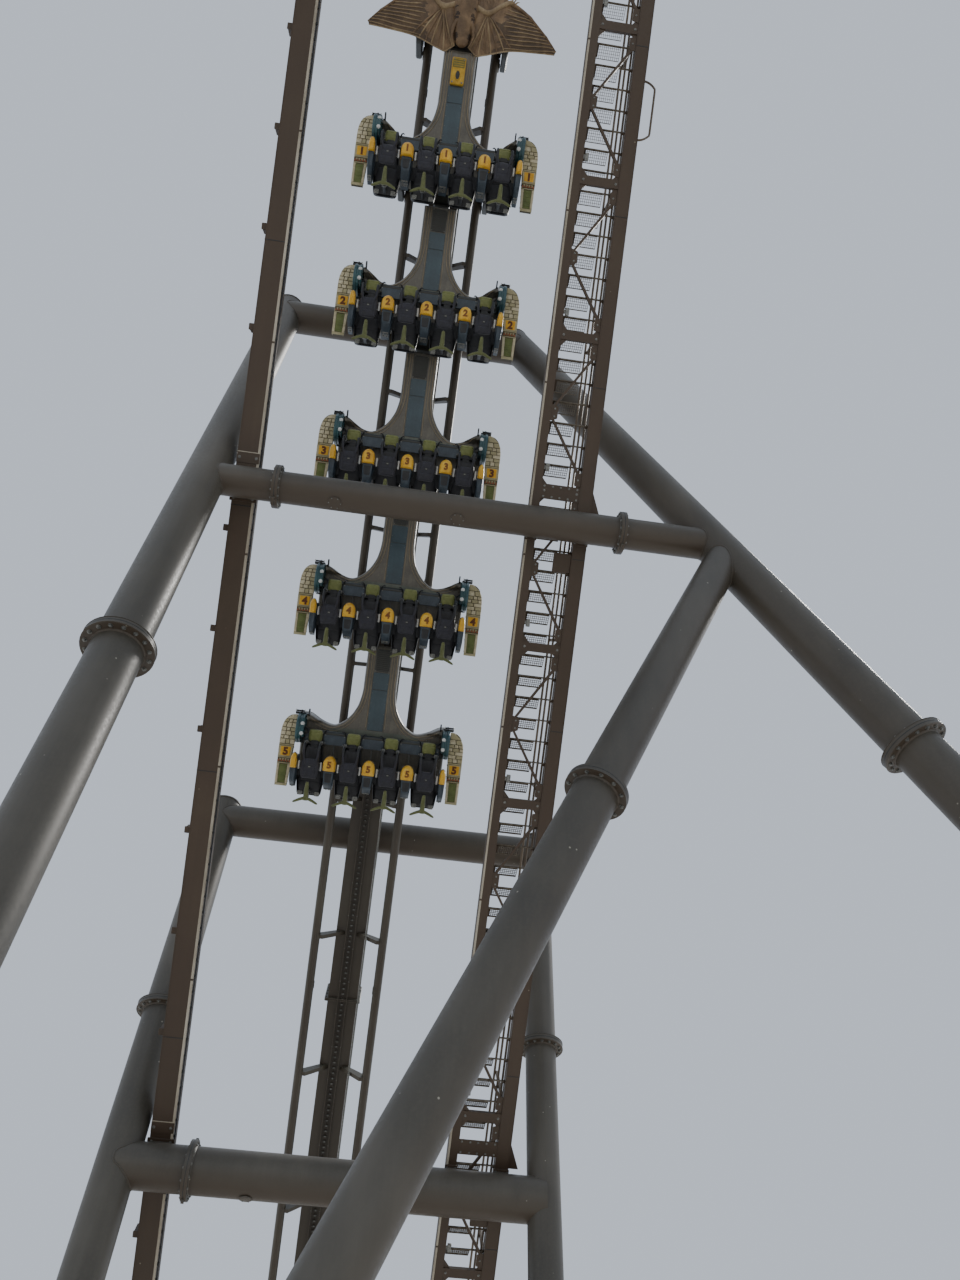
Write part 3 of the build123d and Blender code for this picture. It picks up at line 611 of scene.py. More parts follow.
world = bpy.data.worlds.new("studio") if not bpy.context.scene.world else bpy.context.scene.world
bpy.context.scene.world = world
world.use_nodes = True
bg = world.node_tree.nodes.get("Background")
bg.inputs["Color"].default_value = (0.72, 0.79, 0.90, 1)
bg.inputs["Strength"].default_value = 0.85


def light(name, kind, energy, direction, size=0.0, at=(0, 0, 40), color=(1, 1, 1)):
    d = bpy.data.lights.new(name, kind)
    d.energy = energy
    d.color = color
    if kind == "SUN":
        d.angle = size
    else:
        d.shape = "DISK"
        d.size = size
    o = bpy.data.objects.new(name, d)
    bpy.context.scene.collection.objects.link(o)
    o.location = at
    o.rotation_euler = Vector(direction).to_track_quat("-Z", "Y").to_euler()
    return o


light("key", "SUN", 2.6, (0.42, -0.55, -0.85), math.radians(14), color=(1.0, 0.97, 0.92))
light("fill", "SUN", 0.7, (-0.85, 0.25, 0.25), math.radians(40), color=(0.92, 0.96, 1.0))

# ------------------------------------------------------------ carried-over CAD nodes
FINISH = {}
for n in NODES:
    if n.startswith(("left_column", "raked_leg", "right_column")) or n in (
            "top_beams", "lower_beams", "diagonal_braces", "beam_seats", "spine_saddles"):
        FINISH[n] = "structure"
    elif n in ("left_rail", "right_rail", "track_spine", "rail_ties", "chain_trough"):
        FINISH[n] = "track"
    elif n.startswith(("service_", "beam_", "stair_")):
        FINISH[n] = "walkway"
    else:
        FINISH[n] = {"lift_chain": "chain", "side_conduit": "galv", "side_pods": "stone", "pivot_posts": "teal",
                     "wheel_carriers": "chassis", "lead_frame": "chassis", "train_wheels": "tyre",
                     "coupler_plate": "plate", "figurehead": "hide"}.get(n, "fairing")
for n, ob in NODES.items():
    m = MAT[FINISH[n]]
    if not ob.data.materials:
        ob.data.materials.append(m)
    for i in range(len(ob.material_slots)):
        ob.material_slots[i].material = m

# ------------------------------------------------------------ row fairings
HALF = [(0.290, 1.300), (0.300, 1.190), (0.320, 1.080), (0.346, 0.985), (0.385, 0.900), (0.425, 0.828),
        (0.475, 0.760), (0.530, 0.698), (0.590, 0.650), (0.655, 0.610), (0.720, 0.587), (0.785, 0.588),
        (0.850, 0.602), (0.925, 0.628), (1.000, 0.662), (1.060, 0.698), (1.120, 0.732), (1.165, 0.752),
        (1.200, 0.760), (1.270, 0.760)]


def catmull(pts, per=4):
    out = []
    n = len(pts)
    for i in range(n - 1):
        p0, p1, p2, p3 = (Vector(pts[max(i - 1, 0)]), Vector(pts[i]), Vector(pts[i + 1]), Vector(pts[min(i + 2, n - 1)]))
        for s in range(per):
            t = s / per
            out.append(0.5 * (2 * p1 + (p2 - p0) * t + (2 * p0 - 5 * p1 + 4 * p2 - p3) * t * t
                              + (3 * p1 - p0 - 3 * p2 + p3) * t ** 3))
    out.append(Vector(pts[-1]))
    return out


def interp(table, x):
    if x <= table[0][0]:
        return table[0][1]
    for (x0, y0), (x1, y1) in zip(table, table[1:]):
        if x <= x1:
            return y0 + (y1 - y0) * (x - x0) / max(x1 - x0, 1e-9)
    return table[-1][1]


EDGE = [tuple(p) for p in catmull(HALF, 3)]


def seg_dist(p, a, b):
    d = b - a
    t = max(0.0, min(1.0, (p - a).dot(d) / max(d.length_squared, 1e-12)))
    return (p - a - d * t).length


TAIL = -0.21


def droop(a, y):
    """How far a wing end hangs below the flat underside."""
    y = abs(y)
    if y <= 0.70 or y > 1.1865 or a < 0.605:
        return 0.0
    t = min((a - 0.605) / 0.055, 1.0)
    return -0.205 * ((y - 0.70) / 0.485) ** 1.15 * t * t * (3 - 2 * t)


def fairing_mesh(name, neck_top):
    right = [Vector((a, y)) for y, a in EDGE]
    loop = [Vector((neck_top, 0.29))] + right + [Vector((TAIL, 1.27)), Vector((TAIL, 0.0))]
    segs = [s for s in zip(loop, loop[1:]) if not (s[0].y == 0 and s[1].y == 0)]
    segs.append((Vector((neck_top, 0.0)), Vector((neck_top, 0.29))))

    def depth(a, y):
        p = Vector((a, abs(y)))
        d = min(seg_dist(p, s, e) for s, e in segs)
        R = 0.055
        base = -0.870
        # soft keel along the neck and a shallow dish in each wing
        base += -0.002 * math.cos(min(abs(y) / 0.29, 1) * math.pi)
        base += droop(a, y)
        if d < R:
            return base + R - math.sqrt(max(R * R - (R - d) ** 2, 0.0))
        return base

    ys = [0.0, 0.06, 0.12, 0.16, 0.20, 0.235, 0.26, 0.278, 0.29]
    ys2 = sorted({round(y, 4) for y, a in EDGE if y > 0.2905} | {0.70, 1.15, 1.18, 1.186, 1.190, 1.225, 1.245, 1.26, 1.27})
    ypos = ys + ys2
    cols = [-y for y in reversed(ypos) if y > 0] + ypos
    edge_a = [(y, a) for y, a in EDGE]
    vs = [0, .006, .018, .035, .06, .1, .16, .23, .31, .39, .47, .55, .62, .69, .75, .81, .86, .9, .935, .96, .98, .993, 1]
    bm = bmesh.new()
    grid = {}
    for i, y in enumerate(cols):
        top = 1.30 if abs(y) <= 0.2901 else interp(edge_a, abs(y))
        for j, v in enumerate(vs):
            a = TAIL + (top - TAIL) * v
            grid[i, j] = bm.verts.new((a, y, depth(a, y)))
    for i in range(len(cols) - 1):
        for j in range(len(vs) - 1):
            bm.faces.new((grid[i, j], grid[i + 1, j], grid[i + 1, j + 1], grid[i, j + 1]))
    neck = [k for k, y in enumerate(cols) if abs(y) <= 0.2901]
    prev = {k: grid[k, len(vs) - 1] for k in neck}
    steps = 12
    for s in range(1, steps + 3):
        a = 1.30 + (neck_top - 1.30) * min(s / steps, 1.0) if s < steps else neck_top - (0.02, 0.006, 0.0)[s - steps]
        cur = {k: bm.verts.new((a, cols[k], depth(a, cols[k]))) for k in neck}
        for k0, k1 in zip(neck, neck[1:]):
            bm.faces.new((prev[k0], prev[k1], cur[k1], cur[k0]))
        prev = cur
    rim = [e for e in bm.edges if e.is_boundary]
    for z in (-0.640, -0.617):
        ret = bmesh.ops.extrude_edge_only(bm, edges=rim)
        for v in (g for g in ret["geom"] if isinstance(g, bmesh.types.BMVert)):
            v.co.z = z
        rim = [g for g in ret["geom"] if isinstance(g, bmesh.types.BMEdge) and g.is_boundary]
    ret = bmesh.ops.extrude_edge_only(bm, edges=rim)
    for v in (g for g in ret["geom"] if isinstance(g, bmesh.types.BMVert)):
        v.co.z = -0.608
        v.co.y -= 0.012 * (1 if v.co.y > 0 else -1)
    rim = [g for g in ret["geom"] if isinstance(g, bmesh.types.BMEdge) and g.is_boundary]
    bmesh.ops.contextual_create(bm, geom=rim)
    bmesh.ops.recalc_face_normals(bm, faces=bm.faces)
    me = bpy.data.meshes.new(name)
    bm.to_mesh(me)
    bm.free()
    me.materials.append(MAT["fairing"])
    me.shade_smooth()
    me.set_sharp_from_angle(angle=math.radians(40))
    return me


def inset_edge(d, y_max=1.2):
    """Points of the flare's outline moved inward by d, on the right half."""
    pts = [Vector((a, y)) for y, a in EDGE]
    out = []
    for i, p in enumerate(pts):
        t = (pts[min(i + 1, len(pts) - 1)] - pts[max(i - 1, 0)]).normalized()
        n = Vector((-t.y * -1, t.x * -1))
        n = Vector((t.y, -t.x))
        if n.y > 0 and abs(t.x) > 0.5 or n.x > 0:
            n = -n
        q = p + n * d
        if q.y <= y_max:
            out.append((q.x, q.y))
    return out


def fairing_trim(neck_top, strip_top):
    b = Build()
    # centre strip up the neck, in two lengths with a cover joint
    for a0, a1 in ((0.575, 1.30), (1.306, strip_top)):
        b.prism(rounded([(a0, -0.138), (a1, -0.138), (a1, 0.138), (a0, 0.138)], 0.012, 2), -0.880, -0.864, 1, chamfer=0.004)
    # band above the headrests
    band = [(0.405, -0.86), (0.405, 0.86), (0.475, 0.86), (0.545, 0.70), (0.560, 0.46), (0.560, -0.46), (0.545, -0.70), (0.475, -0.86)]
    b.prism(rounded(band, 0.03, 3), -0.879, -0.864, 2, chamfer=0.004)
    for y in (-0.66, -0.33, 0.0, 0.33, 0.66):
        b.box(0.42, 0.545, y - 0.006, y + 0.006, -0.880, -0.872, 0)
    # rib lines beside the strip and round the flare
    for s in (-1, 1):
        for d, r in ((0.042, 0.0085), (0.092, 0.0065)):
            flare = [(a, s * y) for a, y in inset_edge(d, 1.16 - d)]
            up = [(neck_top - 0.05 - i * (neck_top - 1.36) / 8, s * (0.29 - d)) for i in range(9)]
            path = up + [q for q in flare if q[0] < 1.28]
            b.tube([(a, y, -0.8735 + droop(a, y)) for a, y in path], r, 6, 3)
        b.tube([(neck_top - 0.05, s * 0.158, -0.8735), (1.2, s * 0.158, -0.8735), (0.62, s * 0.165, -0.8735)], 0.006, 6, 3)
        # panel joints of the wing ends, with fasteners
        b.box(-0.18, 0.53, s * 0.905 - 0.004, s * 0.905 + 0.004, -0.876, -0.866, 0)
        for a in (-0.15, 0.02, 0.19, 0.36, 0.51):
            for y in (0.88, 0.93, 1.19):
                b.bolt((a, s * y, -0.8705), (0, 0, -1), 0.008, 0.007, 4)
        for a in [0.70 + 0.18 * k for k in range(int((neck_top - 0.75) / 0.18))]:
            b.bolt((a, s * (0.122 if a > 0.6 else 0.2), -0.879), (0, 0, -1), 0.006, 0.004, 4)
        # lids on the upper side
        b.prism(rounded([(-0.18, s * 0.62 - 0.28), (0.34, s * 0.62 - 0.28), (0.34, s * 0.62 + 0.28), (-0.18, s * 0.62 + 0.28)], 0.05, 3), -0.612, -0.600, 0, chamfer=0.004)
        for a in (-0.15, 0.08, 0.31):
            for dy in (-0.25, 0.25):
                b.bolt((a, s * 0.62 + dy, -0.601), (0, 0, 1), 0.008, 0.006, 4)
    if neck_top < 2.2:
        # louvred cover at the neck's uphill end
        b.prism(rounded([(1.625, -0.128), (2.02, -0.128), (2.02, 0.128), (1.625, 0.128)], 0.02, 3), -0.886, -0.866, 5, chamfer=0.005)
        for k in range(11):
            a = 1.650 + k * 0.0335
            b.prism([(a, -0.108), (a + 0.016, -0.108), (a + 0.016, 0.108), (a, 0.108)], -0.893, -0.884, 5, chamfer=0.003)
        for a in (1.638, 2.007):
            for y in (-0.112, 0.112):
                b.bolt((a, y, -0.886), (0, 0, -1), 0.006, 0.004, 4)
    return b


def backbone():
    b = Build()
    b.prism(rounded([(-0.42, -0.145), (2.02, -0.145), (2.02, 0.145), (-0.42, 0.145)], 0.03, 3), -0.612, -0.424, 0, chamfer=0.012)
    for a in (-0.38, 0.0, 0.75, 1.5, 1.98):
        b.box(a - 0.012, a + 0.012, -0.150, 0.150, -0.612, -0.420, 0)
        for y in (-0.11, 0.11):
            b.bolt((a + 0.03, y, -0.424), (0, 0, 1), 0.011, 0.010, 1)
    for s in (-1, 1):
        b.prism([(0.0, 0.0), (0.30, 0.0), (0.0, 0.38)], -0.006, 0.006, 0,
                Matrix(((1, 0, 0, 0.36), (0, s, 0, s * 0.145), (0, 0, 1, -0.604), (0, 0, 0, 1))))
    return b


FAIR_SHORT = fairing_mesh("fairing_shell_short", 2.080)
FAIR_LONG = fairing_mesh("fairing_shell_long", 2.265)


def share(name, b, mats, **kw):
    """One mesh object, made through make."""
    ob = make(name, b, mats, **kw)
    return ob


def again(name, ob, at, body, replaces=()):
    cp = bpy.data.objects.new(name, ob.data)
    bpy.context.scene.collection.objects.link(cp)
    cp.matrix_world = at
    for m in ob.modifiers:
        if m.type == "BEVEL":
            q = cp.modifiers.new(m.name, "BEVEL")
            q.width, q.segments, q.limit_method, q.angle_limit, q.harden_normals = (
                m.width, m.segments, m.limit_method, m.angle_limit, m.harden_normals)
        elif m.type == "SUBSURF":
            q = cp.modifiers.new(m.name, "SUBSURF")
            q.levels = q.render_levels = m.levels
    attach(cp, body)
    for nd in replaces:
        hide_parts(nd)
    if "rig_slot" in ob:
        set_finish(cp, ob["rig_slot"])
    return cp


TRIM_MATS = ["fairing", "neck_strip", "fairing_band", "rib_edge", "galv", "chassis"]
trim_long = fairing_trim(2.265, 1.600)
trim_short = fairing_trim(2.080, 1.61)
short_trim_ob = short_bone = None
for i, ra in enumerate(ROW_A, 1):
    at = row_matrix(ra)
    make(f"row_{i}_fairing_shell", FAIR_LONG if i == 1 else FAIR_SHORT, None, "train", at,
         replaces=(f"row_{i}_fairing",), slot="fairing_grey")
    if i == 1:
        make("row_1_fairing_trim", trim_long, TRIM_MATS, "train", at, slot="fairing_grey")
        short_bone = make("row_1_backbone", backbone(), ["chassis", "galv"], "train", at, slot="carrier_paint")
    else:
        if short_trim_ob is None:
            short_trim_ob = make("row_2_fairing_trim", trim_short, TRIM_MATS, "train", at, slot="fairing_grey")
        else:
            again(f"row_{i}_fairing_trim", short_trim_ob, at, "train")
        again(f"row_{i}_backbone", short_bone, at, "train")

# ------------------------------------------------------------ side panels
POD = [(0.728, 1.3315), (0.727, 1.400), (0.718, 1.440), (0.700, 1.474), (0.674, 1.504), (0.640, 1.531), (0.600, 1.553),
       (0.555, 1.570), (0.505, 1.583), (0.455, 1.591), (0.380, 1.596), (0.300, 1.598), (0.150, 1.598), (0.0, 1.598),
       (-0.25, 1.596), (-0.524, 1.592)]
POD_IN = [(-0.524, 1.379), (0.24, 1.3315)]
POD_FACE = -1.1385


def pod_edges(a):
    """Inner and outer y of a panel at station a."""
    inner = 1.3315 if a > 0.24 else 1.3315 + (0.24 - a) * (1.379 - 1.3315) / 0.764
    outer = 1.596
    for (a0, y0), (a1, y1) in zip(POD, POD[1:]):
        if a1 <= a <= a0:
            outer = y1 + (y0 - y1) * (a - a1) / max(a0 - a1, 1e-9)
            break
    return inner, outer


def side_pod(s, seed):
    R = random.Random(seed)
    b = Build()
    flip = Matrix(((1, 0, 0, 0), (0, s, 0, 0), (0, 0, 1, 0), (0, 0, 0, 1)))
    poly = list(reversed(POD + POD_IN))
    poly_in = offset(list(reversed(poly)) if area2(poly) < 0 else poly, -0.007)
    b.prism(poly_in, POD_FACE, -1.047, 1, flip, chamfer=0.008)

    def block(corners, lift, mat, inset=0.004, slope=0.010):
        """Bevelled block on a surface patch: corners (p, normal)."""
        c = sum((p for p, _ in corners), Vector()) / len(corners)
        base, top = [], []
        for p, nrm in corners:
            d = (c - p)
            base.append(p + d.normalized() * inset - nrm * 0.004)
            top.append(p + d.normalized() * (inset + slope) + nrm * lift)
        n = len(corners)
        vs = [flip @ q for q in base + top]
        fs = [tuple(range(n, 2 * n))] + [(i, (i + 1) % n, n + (i + 1) % n, n + i) for i in range(n)] + [tuple(reversed(range(n)))]
        b.add(vs, fs, mat)

    # underside masonry, in courses across the panel
    def courses(a, a_end):
        while a < a_end - 0.004:
            a1 = min(a + R.choice((0.062, 0.075, 0.088)), a_end)
            if a_end - a1 < 0.036:
                a1 = a_end
            i0, o0 = pod_edges(a)
            i1, o1 = pod_edges(a1)
            o = min(o0, o1)
            parts = 3 if o - i0 > 0.19 and R.random() < 0.55 else (2 if o - i0 > 0.10 else 1)
            cuts = [0.0] + sorted((k + R.uniform(-0.22, 0.22)) / parts for k in range(1, parts)) + [1.0]
            for c0, c1 in zip(cuts, cuts[1:]):
                q = []
                for aa, cc in ((a, c0), (a1, c0), (a1, c1), (a, c1)):
                    ii, oo = pod_edges(aa)
                    q.append((Vector((aa, ii + (oo - ii) * cc, POD_FACE)), Vector((0, 0, -1))))
                block(q, R.uniform(0.008, 0.0135), 0 if R.random() < 0.8 else 2, 0.0045, 0.008)
            a = a1

    courses(0.205, 0.724)
    # outer masonry on the curved side
    pts = [Vector(p) for p in POD]
    cum = [0.0]
    for p, q in zip(pts, pts[1:]):
        cum.append(cum[-1] + (q - p).length)

    def on(sv):
        k = max(i for i in range(len(cum) - 1) if cum[i] <= sv + 1e-9)
        d = (pts[k + 1] - pts[k]).normalized()
        nrm = Vector((d.y, -d.x, 0))
        if nrm.y < 0 and nrm.x <= 0 or nrm.y < -0.5:
            nrm = -nrm
        p = pts[k].lerp(pts[k + 1], (sv - cum[k]) / (cum[k + 1] - cum[k]))
        return Vector((p.x, p.y, 0)), nrm

    s0 = 0.01
    while s0 < cum[-1] - 0.02:
        s1 = min(s0 + (0.060 if s0 < 0.4 else R.uniform(0.10, 0.18)), cum[-1])
        if cum[-1] - s1 < 0.05:
            s1 = cum[-1]
        q = []
        for sv, nn in ((s0, -1.132), (s1, -1.132), (s1, -1.053), (s0, -1.053)):
            p, nr = on(min(sv, cum[-1] - 1e-6))
            p.z = nn
            q.append((p - nr * 0.008, nr))
        block(q, R.uniform(0.004, 0.007), 0 if R.random() < 0.8 else 2, 0.003, 0.005)
        s0 = s1

    # number plate with a sandy border
    b.prism([(-0.018, 1.366), (0.172, 1.348), (0.172, 1.586), (-0.018, 1.586)], -1.149, -1.134, 2, flip, chamfer=0.004)
    b.prism(rounded([(0.000, 1.392), (0.158, 1.380), (0.158, 1.556), (0.000, 1.556)], 0.012, 2), -1.1535, -1.146, 5, flip, chamfer=0.003)
    b.box(0.180, 0.199, pod_edges(0.19)[0] + 0.004, 1.592, -1.150, -1.134, 2, flip)
    # zigzag band
    ii, oo = pod_edges(-0.08)
    k = 5
    w = (oo - ii - 0.016) / k
    for j in range(k):
        y = ii + 0.008 + j * w
        b.prism([(-0.104, y + 0.006), (-0.058, y + w / 2), (-0.104, y + w - 0.006)], -1.149, -1.134, 3, flip, chamfer=0.003)
        if j < k - 1:
            b.prism([(-0.050, y + w / 2 + 0.004), (-0.050, y + w * 1.5 - 0.004), (-0.098, y + w)], -1.146, -1.134, 2, flip, chamfer=0.003)
    for a in (-0.136, -0.036):
        b.box(a, a + 0.014, ii + 0.002, 1.590, -1.151, -1.134, 2, flip)
    # olive panel with ribs in a sandy frame
    b.prism([(-0.470, 1.424), (-0.150, 1.412), (-0.150, 1.546), (-0.470, 1.546)], -1.146, -1.134, 4, flip, chamfer=0.003)
    for a in (-0.425, -0.345, -0.265, -0.190):
        b.prism(rounded([(a - 0.013, 1.442), (a + 0.013, 1.442), (a + 0.013, 1.530), (a - 0.013, 1.530)], 0.012, 3), -1.152, -1.144, 4, flip, chamfer=0.003)
    b.prism([(-0.522, 1.381), (-0.478, 1.379), (-0.478, 1.590), (-0.522, 1.590)], -1.152, -1.134, 2, flip, chamfer=0.004)
    b.prism([(-0.476, 1.550), (-0.142, 1.550), (-0.142, 1.591), (-0.476, 1.591)], -1.151, -1.134, 0, flip, chamfer=0.003)
    b.prism([(-0.476, 1.379), (-0.142, 1.359), (-0.142, 1.406), (-0.476, 1.418)], -1.151, -1.134, 0, flip, chamfer=0.003)
    # bolts along the inner edge and stiffeners on the hidden upper side
    for a in (-0.45, -0.25, -0.05, 0.15, 0.35, 0.55):
        yi = pod_edges(a)[0]
        b.bolt((a, s * (yi + 0.008), -1.085), (0, -s, 0), 0.010, 0.008, 7)
        b.box(a - 0.012, a + 0.012, yi + 0.02, pod_edges(a)[1] - 0.03, -1.050, -1.046, 1, flip)
    return b


def area2(poly):
    return sum(p[0] * q[1] - q[0] * p[1] for p, q in zip(poly, poly[1:] + poly[:1]))


POD_MATS = ["stone", "stone_joint", "stone_trim", "zigzag", "olive_panel", "sign_yellow", "white_cap", "galv"]
pods = {}
for s, side in ((-1, "left"), (1, "right")):
    for i, ra in enumerate(ROW_A, 1):
        at = row_matrix(ra)
        if s not in pods:
            pods[s] = make(f"row_{i}_{side}_pod", side_pod(s, 11 + s), POD_MATS, "train", at, slot="pod_panel",
                           replaces=("side_pods",), angle=25)
        else:
            again(f"row_{i}_{side}_pod", pods[s], at, "train", ("side_pods",))

# ------------------------------------------------------------ row numbers
GLYPHS = {}


def digit_mesh(text, size, depth, mat):
    key = (text, size, depth, mat)
    if key in GLYPHS:
        return GLYPHS[key]
    cu = bpy.data.curves.new("digit", "FONT")
    cu.body = text
    cu.size = size
    cu.extrude = depth
    cu.bevel_depth = size * 0.02
    cu.offset = size * 0.034
    cu.resolution_u = 4
    cu.align_x, cu.align_y = "CENTER", "CENTER"
    ob = bpy.data.objects.new("digit_tmp", cu)
    bpy.context.scene.collection.objects.link(ob)
    bpy.context.view_layer.update()
    me = bpy.data.meshes.new_from_object(ob.evaluated_get(bpy.context.evaluated_depsgraph_get()))
    bpy.data.objects.remove(ob)
    me.materials.clear()
    me.materials.append(MAT[mat])
    c = sum((v.co for v in me.vertices), Vector()) / len(me.vertices)
    lo = Vector((min(v.co[k] for v in me.vertices) for k in range(3)))
    hi = Vector((max(v.co[k] for v in me.vertices) for k in range(3)))
    me.transform(Matrix.Translation(-(lo + hi) / 2))
    me.shade_smooth()
    me.set_sharp_from_angle(angle=math.radians(35))
    GLYPHS[key] = me
    return me


# text x runs across (+y), text y runs uphill, and it faces down
FACE_DOWN = Matrix(((0, 1, 0, 0), (1, 0, 0, 0), (0, 0, -1, 0), (0, 0, 0, 1)))


def digit(name, text, size, depth, mat, ra, y, a, n, body, slot):
    make(name, digit_mesh(text, size, depth, mat), None, body, TRACK @ Matrix.Translation((ra + a, y, n)) @ FACE_DOWN,
         slot=slot)


for i, ra in enumerate(ROW_A, 1):
    for s, side in ((-1, "left"), (1, "right")):
        digit(f"row_{i}_{side}_pod_number", str(i), 0.175, 0.004, "number_dark", ra, s * 1.470, 0.079, -1.1515, "train",
              "pod_panel")

# ------------------------------------------------------------ pivot posts
def post(s):
    b = Build()
    mx = Matrix(((1, 0, 0, 0), (0, 0, -s, s * 1.260), (0, 1, 0, 0), (0, 0, 0, 1)))
    hull = [(0.224, -0.884), (0.250, -1.178), (0.340, -1.326), (0.440, -1.366), (0.600, -1.346), (0.690, -1.276), (0.757, -1.128), (0.757, -0.884)]
    # two cheeks with a darker core between them
    b.prism(rounded(hull, 0.045, 4), -0.067, -0.012, 0, mx, chamfer=0.010)
    b.prism(rounded(offset(hull, -0.012), 0.04, 4), -0.014, 0.020, 0, mx)
    b.prism(rounded([(0.352, -0.884), (0.352, -1.20), (0.40, -1.330), (0.47, -1.362), (0.600, -1.342), (0.690, -1.272), (0.755, -1.120), (0.755, -0.884)], 0.04, 4), 0.018, 0.066, 0, mx, chamfer=0.010)
    # flange against the fairing
    b.prism(rounded([(0.222, 1.1925), (0.758, 1.1925), (0.758, 1.3275), (0.222, 1.3275)], 0.02, 3), -0.902, -0.883, 1, Matrix(((1, 0, 0, 0), (0, s, 0, 0), (0, 0, 1, 0), (0, 0, 0, 1))), chamfer=0.004)
    # bearing housing with its cover and bolts
    c = Vector((0.45, s * 1.260, -1.04))
    for dy, h0 in ((-1, 0.066), (1, 0.065)):
        b.lathe([(0.052, h0 - 0.01), (0.092, h0 - 0.01), (0.092, h0 + 0.001), (0.086, h0 + 0.004), (0.052, h0 + 0.004), (0.052, h0 - 0.01)], c, (0, dy, 0), 28, 1)
    for k in range(6):
        t = k * math.pi / 3 + 0.3
        b.bolt(c + Vector((0.072 * math.cos(t), -s * 0.069, 0.072 * math.sin(t))), (0, -s, 0), 0.006, 0.005, 2)
    # two pale lamps on the lower face and the black end bracket with its pin
    for a, n, ax in ((0.606, -1.330, Vector((0.30, 0, -0.95))), (0.437, -1.356, Vector((-0.25, 0, -0.97)))):
        b.lathe([(0.034, -0.014), (0.034, 0.004), (0.028, 0.004), (0.026, 0.010), (0.020, 0.016), (0, 0.018)], (a, s * 1.2205, n), ax, 20, 3)
    for dy, tip in ((-0.020, 0.0), (0.108, 0.030)):
        b.prism(rounded([(0.70, -1.02), (0.735, -1.10), (0.790 + tip, -1.12), (0.822 + tip, -1.075), (0.800 + tip, -1.01), (0.72, -0.985)], 0.018, 2), dy - 0.011, dy + 0.011, 4, mx)
    b.tube([(0.795, s * 1.225, -1.065), (0.795, s * 1.384, -1.065)], 0.015, 14, 4)
    for y in (1.228, 1.381):
        b.lathe([(0.024, -0.006), (0.024, 0.006), (0, 0.006)], (0.795, s * y, -1.065), (0, 1 if y > 1.3 else -1, 0), 12, 3)
    b.prism(rounded([(0.735, 1.20), (0.775, 1.20), (0.775, 1.385), (0.735, 1.385)], 0.012, 2), -1.095, -1.02, 4, Matrix(((1, 0, 0, 0), (0, s, 0, 0), (0, 0, 1, 0), (0, 0, 0, 1))), chamfer=0.005)
    return b


POST_MATS = ["teal", "chassis", "galv", "white_cap", "black"]
posts = {}
for s, side in ((-1, "left"), (1, "right")):
    for i, ra in enumerate(ROW_A, 1):
        at = row_matrix(ra)
        if s not in posts:
            posts[s] = make(f"row_{i}_{side}_post", post(s), POST_MATS, "train", at, slot="post_teal",
                            replaces=("pivot_posts",), bevel=0.003, segs=1)
        else:
            again(f"row_{i}_{side}_post", posts[s], at, "train", ("pivot_posts",))
# ------------------------------------------------------------ seat rows
SEAT_Y = [c * PITCH for c in (-1.5, -0.5, 0.5, 1.5)]
DIV_Y = [-1.265, -0.66, 0.0, 0.66, 1.265]
SIDE = Matrix(((1, 0, 0, 0), (0, 0, 1, 0), (0, 1, 0, 0), (0, 0, 0, 1)))


def side_at(y):
    """Polygon (a, n) extruded across the row, centred on y."""
    return Matrix.Translation((0, y, 0)) @ SIDE


